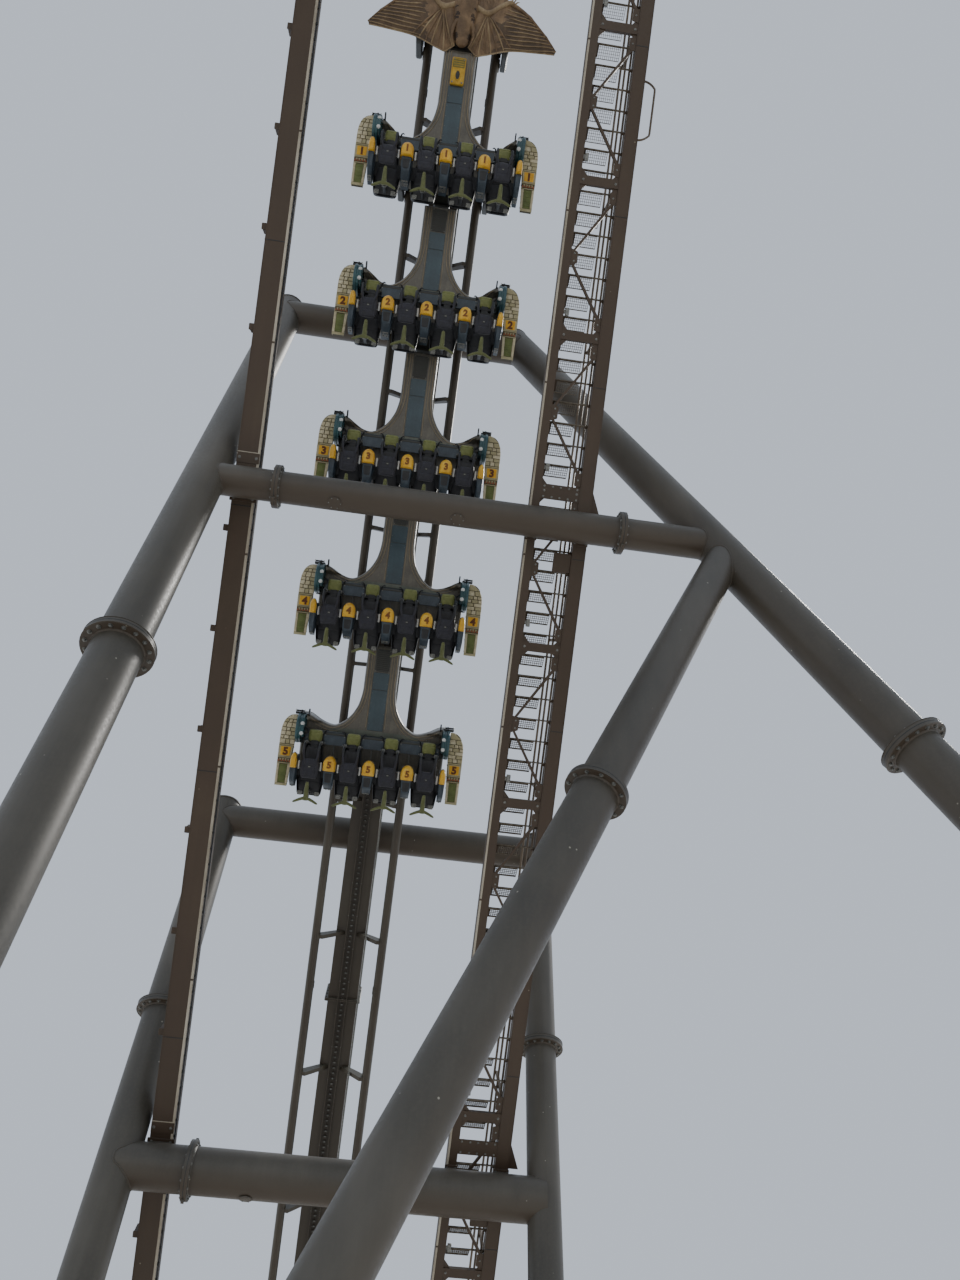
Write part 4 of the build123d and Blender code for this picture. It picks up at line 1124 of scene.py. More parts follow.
def seat_frame():
    """Cross tube, seat beam, rear board, stems, lugs and hooks: everything stiff in the tilting unit."""
    b = Build()
    b.tube([(0.45, -1.322, -1.04), (0.45, 1.322, -1.04)], 0.0445, 24, 0)
    for y in (-1.16, -0.99, -0.33, 0.33, 0.99, 1.16):
        b.lathe([(0.045, -0.025), (0.058, -0.025), (0.058, 0.025), (0.045, 0.025)], (0.45, y, -1.04), (0, 1, 0), 24, 0)
    # seat beam with stiffeners on its upper side
    b.prism(rounded([(0.272, -1.098), (0.452, -1.098), (0.452, 1.098), (0.272, 1.098)], 0.02, 2), -1.062, -1.000, 0, chamfer=0.008)
    for y in [k * 0.165 for k in range(-6, 7)]:
        b.prism([(0.285, -1.002), (0.43, -1.002), (0.41, -0.978), (0.31, -0.978)], -0.005, 0.005, 0, side_at(y))
    # slate panels of the beam between the headrests
    for y0, y1 in ((-0.855, -0.465), (-0.195, 0.195), (0.465, 0.855)):
        b.prism(rounded([(0.262, y0), (0.449, y0), (0.449, y1), (0.262, y1)], 0.03, 3), -1.081, -1.058, 1, chamfer=0.006)
        for a in (0.284, 0.424):
            for y in (y0 + 0.03, y1 - 0.03):
                b.bolt((a, y, -1.081), (0, 0, -1), 0.008, 0.006, 2)
    for s in (-1, 1):
        b.prism(rounded([(0.262, s * 1.142 - 0.030), (0.449, s * 1.142 - 0.030), (0.449, s * 1.142 + 0.030), (0.262, s * 1.142 + 0.030)], 0.015, 2), -1.081, -1.058, 1, chamfer=0.006)
        b.bolt((0.355, s * 1.142, -1.081), (0, 0, -1), 0.008, 0.006, 2)
    # rear board carrying the dividers
    b.prism(rounded([(-0.318, -1.248), (-0.082, -1.248), (-0.082, 1.248), (-0.318, 1.248)], 0.02, 2), -1.183, -1.102, 3, chamfer=0.008)
    # ribbed side plates from the beam down the back of the seats
    for y in (-1.05, -0.66, 0.0, 0.66, 1.05):
        sp = rounded([(0.445, -0.998), (0.30, -0.998), (-0.10, -1.10), (-0.10, -1.15), (0.27, -1.062), (0.445, -1.060)], 0.02, 3)
        b.prism(sp, -0.009, 0.009, 0, side_at(y))
    for y in SEAT_Y:
        # link plate between the shell and the beam, and the cross lug of the shoulder arms
        b.prism(rounded([(0.17, y - 0.062), (0.33, y - 0.062), (0.33, y + 0.062), (0.17, y + 0.062)], 0.015, 2), -1.185, -1.060, 3, chamfer=0.006)
        b.prism(rounded([(0.256, y - 0.175), (0.296, y - 0.175), (0.296, y + 0.175), (0.256, y + 0.175)], 0.01, 2), -1.190, -1.164, 3, chamfer=0.004)
        for s in (-1, 1):
            lug = rounded([(0.258, -1.175), (0.322, -1.185), (0.332, -1.275), (0.276, -1.290), (0.256, -1.25)], 0.02, 3)
            b.prism(lug, -0.006, 0.006, 3, side_at(y + s * 0.163))
            b.tube([(0.296, y + s * 0.151, -1.26), (0.296, y + s * 0.174, -1.26)], 0.018, 12, 2)
            # hooks beside the headrest
            hook = [(0.43, y + s * 0.146, -1.062), (0.468, y + s * 0.152, -1.088), (0.500, y + s * 0.166, -1.100),
                    (0.516, y + s * 0.190, -1.096), (0.508, y + s * 0.212, -1.086)]
            b.tube(hook, [0.014, 0.014, 0.013, 0.011, 0.008], 8, 4)
        # stem of the shin rest with a clamp
        b.prism(rounded([(-0.618, y - 0.029), (-0.502, y - 0.029), (-0.502, y + 0.029), (-0.618, y + 0.029)], 0.012, 2), -1.572, -1.176, 3, chamfer=0.004)
        b.box(-0.628, -0.492, y - 0.036, y + 0.036, -1.480, -1.450, 2)
        for a in (-0.60, -0.52):
            b.bolt((a, y + 0.036, -1.465), (0, 1, 0), 0.009, 0.008, 2)
            b.bolt((a, y - 0.036, -1.465), (0, -1, 0), 0.009, 0.008, 2)
        # arm that carries the padded T from the stem's end uphill
        b.prism(rounded([(-0.62, y - 0.020), (-0.36, y - 0.014), (-0.36, y + 0.014), (-0.62, y + 0.020)], 0.008, 2), -1.574, -1.560, 3, chamfer=0.003)
        # bright foot plates on the shell's low end
        for s in (-1, 1):
            b.prism(rounded([(-0.636, y + s * 0.145 - 0.045), (-0.560, y + s * 0.145 - 0.045), (-0.560, y + s * 0.145 + 0.045), (-0.636, y + s * 0.145 + 0.045)], 0.02, 3), -1.205, -1.182, 2, chamfer=0.004)
    return b


SHELL_W = [(-0.640, 0.150), (-0.632, 0.185), (-0.60, 0.203), (-0.50, 0.218), (-0.36, 0.234), (-0.26, 0.238), (-0.16, 0.210),
           (-0.04, 0.172), (0.08, 0.166), (0.18, 0.158), (0.225, 0.145), (0.250, 0.122), (0.262, 0.095)]


def seat_shell(y0):
    """Moulded tray with a rolled lip, open towards the rider."""
    b = Build()
    prof = [(-1.0, -1.300), (-1.0, -1.385), (-0.985, -1.398), (-0.955, -1.398), (-0.93, -1.385), (-0.88, -1.352), (-0.6, -1.332),
            (0.0, -1.326), (0.6, -1.332), (0.88, -1.352), (0.93, -1.385), (0.955, -1.398), (0.985, -1.398), (1.0, -1.385),
            (1.0, -1.300), (0.9, -1.290), (0.0, -1.288), (-0.9, -1.290)]
    m = len(prof)
    rows = []
    for a, w in SHELL_W:
        rows.append([(a, y0 + u * w, n + 0.208) for u, n in prof])
    v = [p for r in rows for p in r]
    f = []
    for i in range(len(rows) - 1):
        for k in range(m):
            l = (k + 1) % m
            f.append((i * m + k, i * m + l, (i + 1) * m + l, (i + 1) * m + k))
    f.append(tuple(range(m)))
    f.append(tuple((len(rows) - 1) * m + k for k in range(m)))
    b.add(v, f, 0)
    # rear ribs
    for a in (-0.52, 0.02, 0.12):
        b.box(a - 0.008, a + 0.008, y0 - 0.12, y0 + 0.12, -1.084, -1.068, 0)
    return b


def divider(b, y, half):
    """Slate divider board, wider at the cap end, with a padded front, a rim line and an end fitting."""
    st = [(0.062, 0.088, -1.585), (0.056, 0.092, -1.597), (-0.05, 0.091, -1.600), (-0.15, 0.087, -1.600), (-0.25, 0.081, -1.596),
          (-0.325, 0.076, -1.588), (-0.345, 0.075, -1.575), (-0.40, 0.072, -1.492), (-0.446, 0.070, -1.420), (-0.462, 0.069, -1.395),
          (-0.478, 0.067, -1.30), (-0.497, 0.065, -1.176)]
    k = half / 0.092
    rows = []
    for a, w, nf in st:
        w *= k
        e = min(0.022, w * 0.4)
        rows.append([(a, y - w, -1.172), (a, y - w, nf + e), (a, y - w + e * 0.3, nf + e * 0.3), (a, y - w + e, nf),
                     (a, y + w - e, nf), (a, y + w - e * 0.3, nf + e * 0.3), (a, y + w, nf + e), (a, y + w, -1.172)])
    v = [p for r in rows for p in r]
    f = []
    for i in range(len(rows) - 1):
        for j in range(8):
            l = (j + 1) % 8
            f.append((i * 8 + j, i * 8 + l, (i + 1) * 8 + l, (i + 1) * 8 + j))
    f.append(tuple(range(8)))
    f.append(tuple((len(rows) - 1) * 8 + j for j in range(8)))
    b.add(v, f, 0)
    if half > 0.07:
        b.prism(rounded([(-0.315, y - 0.050), (-0.16, y - 0.062), (-0.16, y + 0.062), (-0.315, y + 0.050)], 0.02, 3), -1.604, -1.590, 3, chamfer=0.003)
    # bright fitting on the sloping end
    w = half * 0.62
    b.prism(rounded([(-0.455, -1.425), (-0.486, -1.272), (-0.472, -1.269), (-0.441, -1.422)], 0.004, 2), -w, w, 2, side_at(y))
    for n, a in ((-1.392, -0.4625), (-1.305, -0.480)):
        for q in ((-0.3, 0.3) if half > 0.07 else (0.0,)):
            b.bolt((a, y + q * half, n), (-0.98, 0, -0.2), 0.009, 0.007, 2)


def cap_dome(b, y, cw, mat=1):
    """Bullet-shaped domed cap: rounded uphill, cut straight downhill."""
    na, nt = 16, 20

    def width(a):
        if a < -0.02:
            return cw * (0.985 + 0.015 * min(1, (a + 0.118) / 0.1))
        t = (a + 0.02) / 0.146
        return cw * math.sqrt(max(1 - t ** 2.3, 0.0)) if t < 1 else 0.0

    def crown(a):
        t0 = max(0.0, (a - 0.0) / 0.127)
        t1 = max(0.0, (-0.09 - a) / 0.028)
        return (1 - 0.62 * t0 ** 2.6) * (1 - 0.22 * t1 ** 2)

    st = [-0.118, -0.112, -0.10, -0.08, -0.05, -0.02, 0.01, 0.04, 0.062, 0.080, 0.093, 0.104, 0.112, 0.119, 0.1225, 0.1248]
    rows = []
    for a in st:
        w = max(width(a), 0.004)
        h = 0.130 * crown(a)
        row = [(a, y - w, -1.474), (a, y - w, -1.505)]
        for k in range(nt + 1):
            t = math.pi * k / nt
            cx = -math.cos(t)
            sx = math.sin(t)
            ex = 0.55
            yy = math.copysign(abs(cx) ** ex, cx) * w
            nn = -1.548 - (sx ** ex) * h
            row.append((a, y + yy, nn))
        row += [(a, y + w, -1.505), (a, y + w, -1.474)]
        rows.append(row)
    m = len(rows[0])
    v = [p for r in rows for p in r]
    f = []
    for i in range(len(rows) - 1):
        for k in range(m - 1):
            f.append((i * m + k, i * m + k + 1, (i + 1) * m + k + 1, (i + 1) * m + k))
        f.append((i * m + m - 1, i * m, (i + 1) * m, (i + 1) * m + m - 1))
    f.append(tuple(reversed(range(m))))
    f.append(tuple((len(rows) - 1) * m + k for k in range(m)))
    b.add(v, f, mat)
    # moulded trim line where the dome meets its sides
    rim = [(a, y - max(width(a), 0.004), -1.545) for a in st] + [(a, y + max(width(a), 0.004), -1.545) for a in reversed(st)]
    b.tube(rim, 0.0045, 6, 0, closed=True)


def dividers():
    b = Build()
    for y in DIV_Y:
        mid = abs(y) < 1.0
        divider(b, y, 0.092 if mid else 0.053)
        cap_dome(b, y, 0.109 if mid else 0.054)
    return b


def pad_mesh(name, rows, voxel, pressure, cap, seams=(), mat="pad_black"):
    """Closed crowned pad from stations of (a, half width, n front, n back); inflated by a short cloth run."""
    bm = bmesh.new()
    rings = []
    for a, w, nf, nb in rows:
        ring = []
        th = nb - nf
        for k in range(20):
            t = 2 * math.pi * k / 20
            c, s = math.cos(t), math.sin(t)
            yy = math.copysign(abs(c) ** 0.5, c) * w
            nn = (nf + nb) / 2 + math.copysign(abs(s) ** 0.6, s) * th / 2
            ring.append(bm.verts.new((a, yy, nn)))
        rings.append(ring)
    for r0, r1 in zip(rings, rings[1:]):
        for k in range(20):
            l = (k + 1) % 20
            bm.faces.new((r0[k], r0[l], r1[l], r1[k]))
    bm.faces.new(list(reversed(rings[0])))
    bm.faces.new(rings[-1])
    bmesh.ops.recalc_face_normals(bm, faces=bm.faces)
    me = bpy.data.meshes.new(name)
    bm.to_mesh(me)
    bm.free()
    return puff(me, name, voxel, pressure, cap, seams, mat)


def thin(me, name, most):
    """The same form with fewer triangles."""
    ob = bpy.data.objects.new(name + "_full", me)
    bpy.context.scene.collection.objects.link(ob)
    me.calc_loop_triangles()
    d = ob.modifiers.new("thin", "DECIMATE")
    d.ratio = min(1.0, most / max(1, len(me.loop_triangles)))
    bpy.context.view_layer.update()
    out = bpy.data.meshes.new_from_object(ob.evaluated_get(bpy.context.evaluated_depsgraph_get()))
    bpy.data.objects.remove(ob)
    bpy.data.meshes.remove(me)
    out.name = name
    return out


def puff(me, name, voxel, pressure, cap, seams, mat):
    ob = bpy.data.objects.new(name + "_soft", me)
    bpy.context.scene.collection.objects.link(ob)
    r = ob.modifiers.new("remesh", "REMESH")
    r.mode = "VOXEL"
    r.voxel_size = voxel
    bpy.context.view_layer.update()
    dg = bpy.context.evaluated_depsgraph_get()
    rest = bpy.data.meshes.new_from_object(ob.evaluated_get(dg))
    ob.modifiers.clear()
    ob.data = rest
    start = [v.co.copy() for v in rest.vertices]
    out = start
    c = ob.modifiers.new("cloth", "CLOTH")
    st = c.settings
    st.use_pressure = True
    st.uniform_pressure_force = pressure
    st.effector_weights.gravity = 0.0
    st.tension_stiffness = st.compression_stiffness = 12
    st.bending_stiffness = 0.5
    st.quality = 6
    c.point_cache.frame_start, c.point_cache.frame_end = 1, 20
    sc = bpy.context.scene
    for fr in range(1, 21):
        sc.frame_set(fr)
    dg = bpy.context.evaluated_depsgraph_get()
    ev = ob.evaluated_get(dg).to_mesh()
    out = [v.co.copy() for v in ev.vertices]
    ob.evaluated_get(dg).to_mesh_clear()
    ob.modifiers.clear()
    sc.frame_set(1)
    done = rest.copy()
    done.name = name
    for v, p, q in zip(done.vertices, start, out):
        d = q - p
        if d.length > cap:
            d = d.normalized() * cap
        v.co = p + d
    bm = bmesh.new()
    bm.from_mesh(done)
    bmesh.ops.smooth_vert(bm, verts=bm.verts, factor=0.4, use_axis_x=True, use_axis_y=True, use_axis_z=True)
    bmesh.ops.subdivide_edges(bm, edges=bm.edges, cuts=1, use_grid_fill=True, smooth=0.0)
    bmesh.ops.smooth_vert(bm, verts=bm.verts, factor=0.5, use_axis_x=True, use_axis_y=True, use_axis_z=True)
    bm.normal_update()
    # sewn channels: (a0, y0, a1, y1, width, depth) on the front face
    for a0, y0, a1, y1, w, dep in seams:
        s0, s1 = Vector((a0, y0)), Vector((a1, y1))
        for v in bm.verts:
            if v.normal.z < 0.2:
                d = seg_dist(Vector((v.co.x, v.co.y)), s0, s1)
                if d < w:
                    v.co -= v.normal * dep * (1 - (d / w) ** 2) ** 2
    bm.to_mesh(done)
    bm.free()
    bpy.data.objects.remove(ob)
    done = thin(done, name, 2400)
    done.materials.clear()
    done.materials.append(MAT[mat])
    done.shade_smooth()
    return done


VEST_PAD = pad_mesh("vest_pad", [(-0.286, 0.118, -1.576, -1.538), (-0.262, 0.140, -1.588, -1.534), (-0.20, 0.153, -1.594, -1.534),
                                 (-0.12, 0.165, -1.594, -1.534), (-0.055, 0.172, -1.592, -1.534), (0.0, 0.160, -1.590, -1.534),
                                 (0.035, 0.140, -1.584, -1.536), (0.056, 0.112, -1.574, -1.540)],
                    0.011, 3.5, 0.006,
                    [(0.0, -0.098, -0.25, -0.090, 0.010, 0.006), (0.0, 0.098, -0.25, 0.090, 0.010, 0.006),
                     (-0.065, -0.098, -0.065, 0.098, 0.009, 0.005), (-0.155, -0.094, -0.155, 0.094, 0.009, 0.005)], "vest")
BACK_PAD = pad_mesh("back_pad", [(-0.618, 0.150, -1.170, -1.132), (-0.58, 0.178, -1.192, -1.128), (-0.48, 0.192, -1.200, -1.126),
                                 (-0.36, 0.203, -1.200, -1.126), (-0.26, 0.206, -1.200, -1.126), (-0.16, 0.182, -1.200, -1.126),
                                 (-0.04, 0.148, -1.200, -1.126), (0.08, 0.143, -1.196, -1.126), (0.18, 0.134, -1.188, -1.128), (0.236, 0.108, -1.168, -1.134)],
                    0.014, 3.0, 0.006,
                    [(-0.38, -0.17, -0.38, 0.17, 0.014, 0.008), (-0.17, -0.16, -0.17, 0.16, 0.014, 0.008),
                     (-0.56, 0.0, -0.38, 0.0, 0.012, 0.006), (0.0, -0.09, 0.14, -0.09, 0.010, 0.005), (0.0, 0.09, 0.14, 0.09, 0.010, 0.005)], "pad_black")
HEAD_PAD = pad_mesh("head_pad", [(0.303, 0.086, -1.170, -1.085), (0.312, 0.108, -1.184, -1.066), (0.340, 0.117, -1.190, -1.060),
                                 (0.385, 0.119, -1.191, -1.060), (0.430, 0.118, -1.191, -1.060), (0.475, 0.115, -1.188, -1.062),
                                 (0.494, 0.105, -1.180, -1.072), (0.502, 0.086, -1.166, -1.088)],
                    0.009, 3.0, 0.004,
                    [(0.455, -0.108, 0.455, 0.108, 0.010, 0.007), (0.345, -0.108, 0.345, 0.108, 0.009, 0.005)], "pad_olive")


def shin_mesh():
    """Padded T: a stem between the legs that spreads to both sides, with rounded ends."""
    bm = bmesh.new()

    def sweep(path):
        rings = []
        for (a, y, n, w, h), (da, dy) in path:
            d = Vector((da, dy, 0)).normalized()
            side = Vector((-d.y, d.x, 0))
            ring = []
            for k in range(14):
                t = 2 * math.pi * k / 14
                c, s = math.cos(t), math.sin(t)
                ring.append(bm.verts.new(Vector((a, y, n)) + side * math.copysign(abs(c) ** 0.6, c) * w
                                         + Vector((0, 0, math.copysign(abs(s) ** 0.7, s) * h))))
            rings.append(ring)
        for r0, r1 in zip(rings, rings[1:]):
            for k in range(14):
                bm.faces.new((r0[k], r0[(k + 1) % 14], r1[(k + 1) % 14], r1[k]))
        bm.faces.new(list(reversed(rings[0])))
        bm.faces.new(rings[-1])

    sweep([((-0.334, 0, -1.597, 0.016, 0.018), (-1, 0)), ((-0.350, 0, -1.597, 0.028, 0.028), (-1, 0)),
           ((-0.42, 0, -1.597, 0.035, 0.031), (-1, 0)), ((-0.52, 0, -1.597, 0.040, 0.032), (-1, 0)),
           ((-0.61, 0, -1.597, 0.042, 0.032), (-1, 0)), ((-0.655, 0, -1.597, 0.034, 0.027), (-1, 0))])
    for s in (-1, 1):
        sweep([((-0.612, 0, -1.597, 0.028, 0.029), (-0.25, s)), ((-0.626, s * 0.06, -1.597, 0.026, 0.028), (-0.30, s)),
               ((-0.652, s * 0.12, -1.597, 0.023, 0.026), (-0.42, s)), ((-0.684, s * 0.180, -1.597, 0.020, 0.023), (-0.5, s)),
               ((-0.700, s * 0.210, -1.597, 0.012, 0.014), (-0.5, s))])
    bmesh.ops.recalc_face_normals(bm, faces=bm.faces)
    me = bpy.data.meshes.new("shin_rest")
    bm.to_mesh(me)
    bm.free()
    return puff(me, "shin_rest", 0.009, 2.5, 0.004, [(-0.60, -0.06, -0.60, 0.06, 0.010, 0.004), (-0.40, -0.05, -0.40, 0.05, 0.009, 0.004)], "shin")


SHIN_PAD = shin_mesh()


def arms(b, y):
    """Shoulder arms of one restraint with their pivot boss, buckle block and grips."""
    for s in (-1, 1):
        ya = y + s * 0.125
        path = [(0.025, ya, -1.564), (0.12, ya, -1.571), (0.20, ya, -1.571), (0.255, ya, -1.560), (0.285, ya, -1.532),
                (0.296, ya, -1.48), (0.296, ya, -1.40), (0.296, ya, -1.30), (0.296, ya, -1.264)]
        b.tube(path, [0.016, 0.021, 0.0225, 0.0225, 0.0225, 0.0225, 0.022, 0.021, 0.018], 14, 0)
        # boss with cap plate
        b.lathe([(0, -0.0245), (0.0295, -0.0245), (0.032, -0.021), (0.032, 0.021), (0.0295, 0.0245), (0, 0.0245)], (0.296, ya, -1.26), (0, 1, 0), 24, 1)
        b.bolt((0.296, y + s * (0.125 - 0.0245), -1.26), (0, -s, 0), 0.011, 0.006, 1)
        # sleeve collars on the arm
        for n in (-1.47, -1.34):
            b.lathe([(0.0205, -0.012), (0.0245, -0.010), (0.0245, 0.010), (0.0205, 0.012)], (0.296, ya, n), (0, 0, 1), 14, 1)
        # grip: rubber sleeve on a small bracket
        yg = y + s * 0.186
        b.tube([(-0.142, yg, -1.543), (-0.132, yg, -1.543), (-0.12, yg, -1.543), (-0.02, yg, -1.543), (-0.008, yg, -1.543), (0.002, yg, -1.543)],
               [0.011, 0.0155, 0.0165, 0.0165, 0.0155, 0.011], 12, 2)
        for a in (-0.125, -0.015):
            b.tube([(a, y + s * 0.148, -1.552), (a, yg, -1.543)], 0.008, 8, 1)
        for a in (-0.10, -0.07, -0.04):
            b.lathe([(0.0165, -0.004), (0.0175, 0), (0.0165, 0.004)], (a, yg, -1.543), (1, 0, 0), 12, 2)
        # strap over the shoulder, from the arm down to the buckle
        b.tube([(0.205, ya, -1.590), (0.10, ya - s * 0.008, -1.593), (0.02, y + s * 0.095, -1.595), (-0.05, y + s * 0.070, -1.596)],
               [0.016, 0.017, 0.016, 0.013], 8, 3, flat=0.28)
    b.prism(rounded([(-0.105, y - 0.026), (-0.055, y - 0.026), (-0.055, y + 0.026), (-0.105, y + 0.026)], 0.010, 3), -1.602, -1.590, 0, chamfer=0.003)
    b.box(-0.088, -0.072, y - 0.016, y + 0.016, -1.604, -1.600, 1)
    # spine plate behind the vest
    b.prism(rounded([(-0.25, y - 0.085), (0.035, y - 0.125), (0.045, y - 0.125), (0.045, y + 0.125), (0.035, y + 0.125), (-0.25, y + 0.085)], 0.02, 2), -1.538, -1.531, 1, chamfer=0.002)


def restraint_frames():
    b = Build()
    for y in SEAT_Y:
        arms(b, y)
    return b


first = {}
for i, ra in enumerate(ROW_A, 1):
    at = row_matrix(ra)
    unit, rset = f"row_{i}_seat_unit", f"row_{i}_restraint_set"
    sn, rn = (f"row_{i}_seats",), (f"row_{i}_restraints",)
    plan = [("frame", seat_frame, ["chassis", "divider", "galv", "shell", "black"], unit, sn, "seat_shell", 0),
            ("dividers", dividers, ["divider", "cap", "galv", "shell"], unit, sn, "seat_shell", 0),
            ("restraint_arms", restraint_frames, ["black", "galv", "grip", "vest"], rset, rn, "restraint_pad", 0)]
    for tag, fn, mats, body, nodes, slot, bev in plan:
        nm = f"row_{i}_{tag}"
        if tag in first:
            again(nm, first[tag], at, body, nodes)
        else:
            first[tag] = make(nm, fn(), mats, body, at, slot=slot, replaces=nodes, bevel=bev, segs=1, angle=32)
    for k, y in enumerate(SEAT_Y, 1):
        here = at @ Matrix.Translation((0, y, 0))
        nm = f"row_{i}_shell_{k}"
        if "shell" in first:
            again(nm, first["shell"], here, unit, sn)
        else:
            first["shell"] = make(nm, seat_shell(0.0), ["shell"], unit, here, slot="seat_shell", replaces=sn, angle=50)
        for tag, me, body, nodes, slot, fill in (
                ("back_pad", BACK_PAD, unit, sn, "seat_shell", 0.6), ("headrest", HEAD_PAD, unit, sn, "seat_shell", 0.75),
                ("shin_rest", SHIN_PAD, unit, sn, "seat_shell", 0.8), ("vest", VEST_PAD, rset, rn, "restraint_pad", 0.7)):
            ob = make(f"row_{i}_{tag}_{k}", me, None, body, here, slot=slot, replaces=nodes)
    for k, y in enumerate((-0.66, 0.0, 0.66), 1):
        digit(f"row_{i}_cap_number_{k}", str(i), 0.150, 0.010, "cap_mark", ra, y, -0.005, -1.670, unit, "seat_shell")
# ------------------------------------------------------------ running gear
CARRIER_A = [ra + 0.150 for ra in ROW_A] + [10.430]


def carrier():
    """Cross member and two cheeks, each with a pale rim tube that is a painted highlight along its rounded edge, in the
    frame of one station.
    """
    b = Build()
    b.prism(rounded([(-0.205, -0.845), (0.205, -0.845), (0.205, 0.845), (-0.205, 0.845)], 0.03, 3), -0.418, -0.282, 0, chamfer=0.014)
    for y in (-0.40, 0.0, 0.40):
        b.prism(rounded([(-0.15, y - 0.12), (0.15, y - 0.12), (0.15, y + 0.12), (-0.15, y + 0.12)], 0.05, 4), -0.4195, -0.414, 2, chamfer=0.003)
    for s in (-1, 1):
        mx = Matrix(((1, 0, 0, 0), (0, 0, -s, s * 0.795), (0, 1, 0, 0), (0, 0, 0, 1)))
        cheek = [(-0.208, -0.415), (0.208, -0.415), (0.257, -0.300), (0.257, 0.198), (0.180, 0.297), (-0.180, 0.297), (-0.257, 0.198), (-0.257, -0.300)]
        b.prism(rounded(cheek, 0.075, 6), -0.052, 0.052, 0, mx, chamfer=0.014)
        # pale rim tube inside each cheek's outline: painted highlight standing for the light on the rounded edge
        rim = [mx @ Vector((x, z, -0.0525)) for x, z in rounded(offset(cheek, -0.030), 0.06, 6)]
        b.tube(rim, 0.006, 6, 1, closed=True)
        b.prism(rounded([(-0.17, -0.30), (0.17, -0.30), (0.19, -0.05), (-0.19, -0.05)], 0.03, 3), -0.0545, -0.050, 2, mx, chamfer=0.002)
        for x in (-0.135, 0.135):
            b.lathe([(0, 0.0545), (0.046, 0.0545), (0.050, 0.050)], mx @ Vector((x, 0.1975, 0)), (0, s, 0), 20, 1)
            b.bolt(mx @ Vector((x, 0.1975, -0.0545)), (0, s, 0), 0.018, 0.014, 1)
        for x, z in ((-0.20, -0.36), (0.20, -0.36), (-0.225, 0.15), (0.225, 0.15), (0, 0.25)):
            b.bolt(mx @ Vector((x, z, -0.052)), (0, s, 0), 0.012, 0.010, 1)
        # guide wheel bracket under the rail
        b.prism(rounded([(-0.11, 0.60), (0.11, 0.60), (0.11, 0.745), (-0.11, 0.745)], 0.02, 2), -0.285, -0.232, 0,
                Matrix(((1, 0, 0, 0), (0, s, 0, 0), (0, 0, 1, 0), (0, 0, 0, 1))), chamfer=0.006)
    return b


def wheels():
    """Two road wheels above and one up-stop wheel under each rail, treads and hubs."""
    b = Build()
    for s in (-1, 1):
        for a, n, r, w in ((-0.135, 0.1975, 0.1145, 0.0695), (0.135, 0.1975, 0.1145, 0.0695), (0.0, -0.1525, 0.0695, 0.0695)):
            c = (a, s * 0.670, n)
            h = w - 0.012
            b.lathe([(r * 0.72, -h), (r * 0.93, -h), (r * 0.985, -h + 0.010), (r, -h + 0.028), (r, h - 0.028), (r * 0.985, h - 0.010),
                     (r * 0.93, h), (r * 0.72, h)], c, (0, 1, 0), 40, 0)
            for d in (-1, 1):
                b.lathe([(r * 0.72, h), (r * 0.70, h - 0.012), (r * 0.40, h - 0.016), (r * 0.36, h + 0.004), (r * 0.30, h + 0.011), (0, h + 0.011)],
                        c, (0, d, 0), 28, 1)
                for k in range(6):
                    t = k * math.pi / 3
                    b.lathe([(r * 0.06, 0), (r * 0.06, 0.008), (0, 0.008)], (a + r * 0.55 * math.cos(t), s * 0.670 + d * (h - 0.016), n + r * 0.55 * math.sin(t)),
                            (0, d, 0), 6, 1)
    return b


first_carrier = first_wheels = None
for i, ca in enumerate(CARRIER_A, 1):
    at = row_matrix(ca)
    if first_carrier is None:
        first_carrier = make("wheel_carrier_1", carrier(), ["chassis", "white_cap", "black"], "train", at,
                             replaces=("wheel_carriers",), slot="carrier_paint")
        first_wheels = make("wheel_set_1", wheels(), ["tyre", "galv"], "train", at, replaces=("train_wheels",), slot="wheel_tyre")
    else:
        again(f"wheel_carrier_{i}", first_carrier, at, "train", ("wheel_carriers",))
        again(f"wheel_set_{i}", first_wheels, at, "train", ("train_wheels",))

# ------------------------------------------------------------ lead frame and coupler plate
def lead_frame():
    b = Build()
    xz = Matrix(((1, 0, 0, 10.9), (0, 1, 0, 0), (0, 0, 1, 0), (0, 0, 0, 1)))
    b.prism(rounded([(-1.045, -0.205), (1.045, -0.205), (1.045, 0.205), (-1.045, 0.205)], 0.04, 3), -0.788, -0.640, 0, xz, chamfer=0.018)
    b.prism(rounded([(-1.045, -0.17), (1.045, -0.17), (1.045, 0.17), (-1.045, 0.17)], 0.03, 3), -0.645, -0.560, 2, xz, chamfer=0.01)
    b.prism(rounded([(-1.045, -0.205), (1.045, -0.205), (1.045, 0.205), (-1.045, 0.205)], 0.04, 3), -0.565, -0.424, 0, xz, chamfer=0.018)
    for a in (-1.0, -0.6, -0.2, 0.2, 0.6, 1.0):
        b.box(a - 0.015, a + 0.015, -0.2085, 0.2085, -0.79, -0.425, 2, xz)
        for y in (-0.16, 0.16):
            b.bolt((10.9 + a + 0.05, y, -0.789), (0, 0, -1), 0.013, 0.010, 1)
    for s in (-1, 1):
        b.prism([(-0.9, -0.77), (-0.3, -0.77), (-0.6, -0.45)], 0.2045, 0.2095, 3, Matrix(((1, 0, 0, 10.9), (0, 0, s, 0), (0, 1, 0, 0), (0, 0, 0, 1))))
        b.prism([(0.3, -0.77), (0.9, -0.77), (0.6, -0.45)], 0.2045, 0.2095, 3, Matrix(((1, 0, 0, 10.9), (0, 0, s, 0), (0, 1, 0, 0), (0, 0, 0, 1))))
    return b


make("lead_frame_box", lead_frame(), ["chassis", "galv", "black", "hide"], "train", TRACK, replaces=("lead_frame",), slot="carrier_paint", bevel=0.003, segs=1)


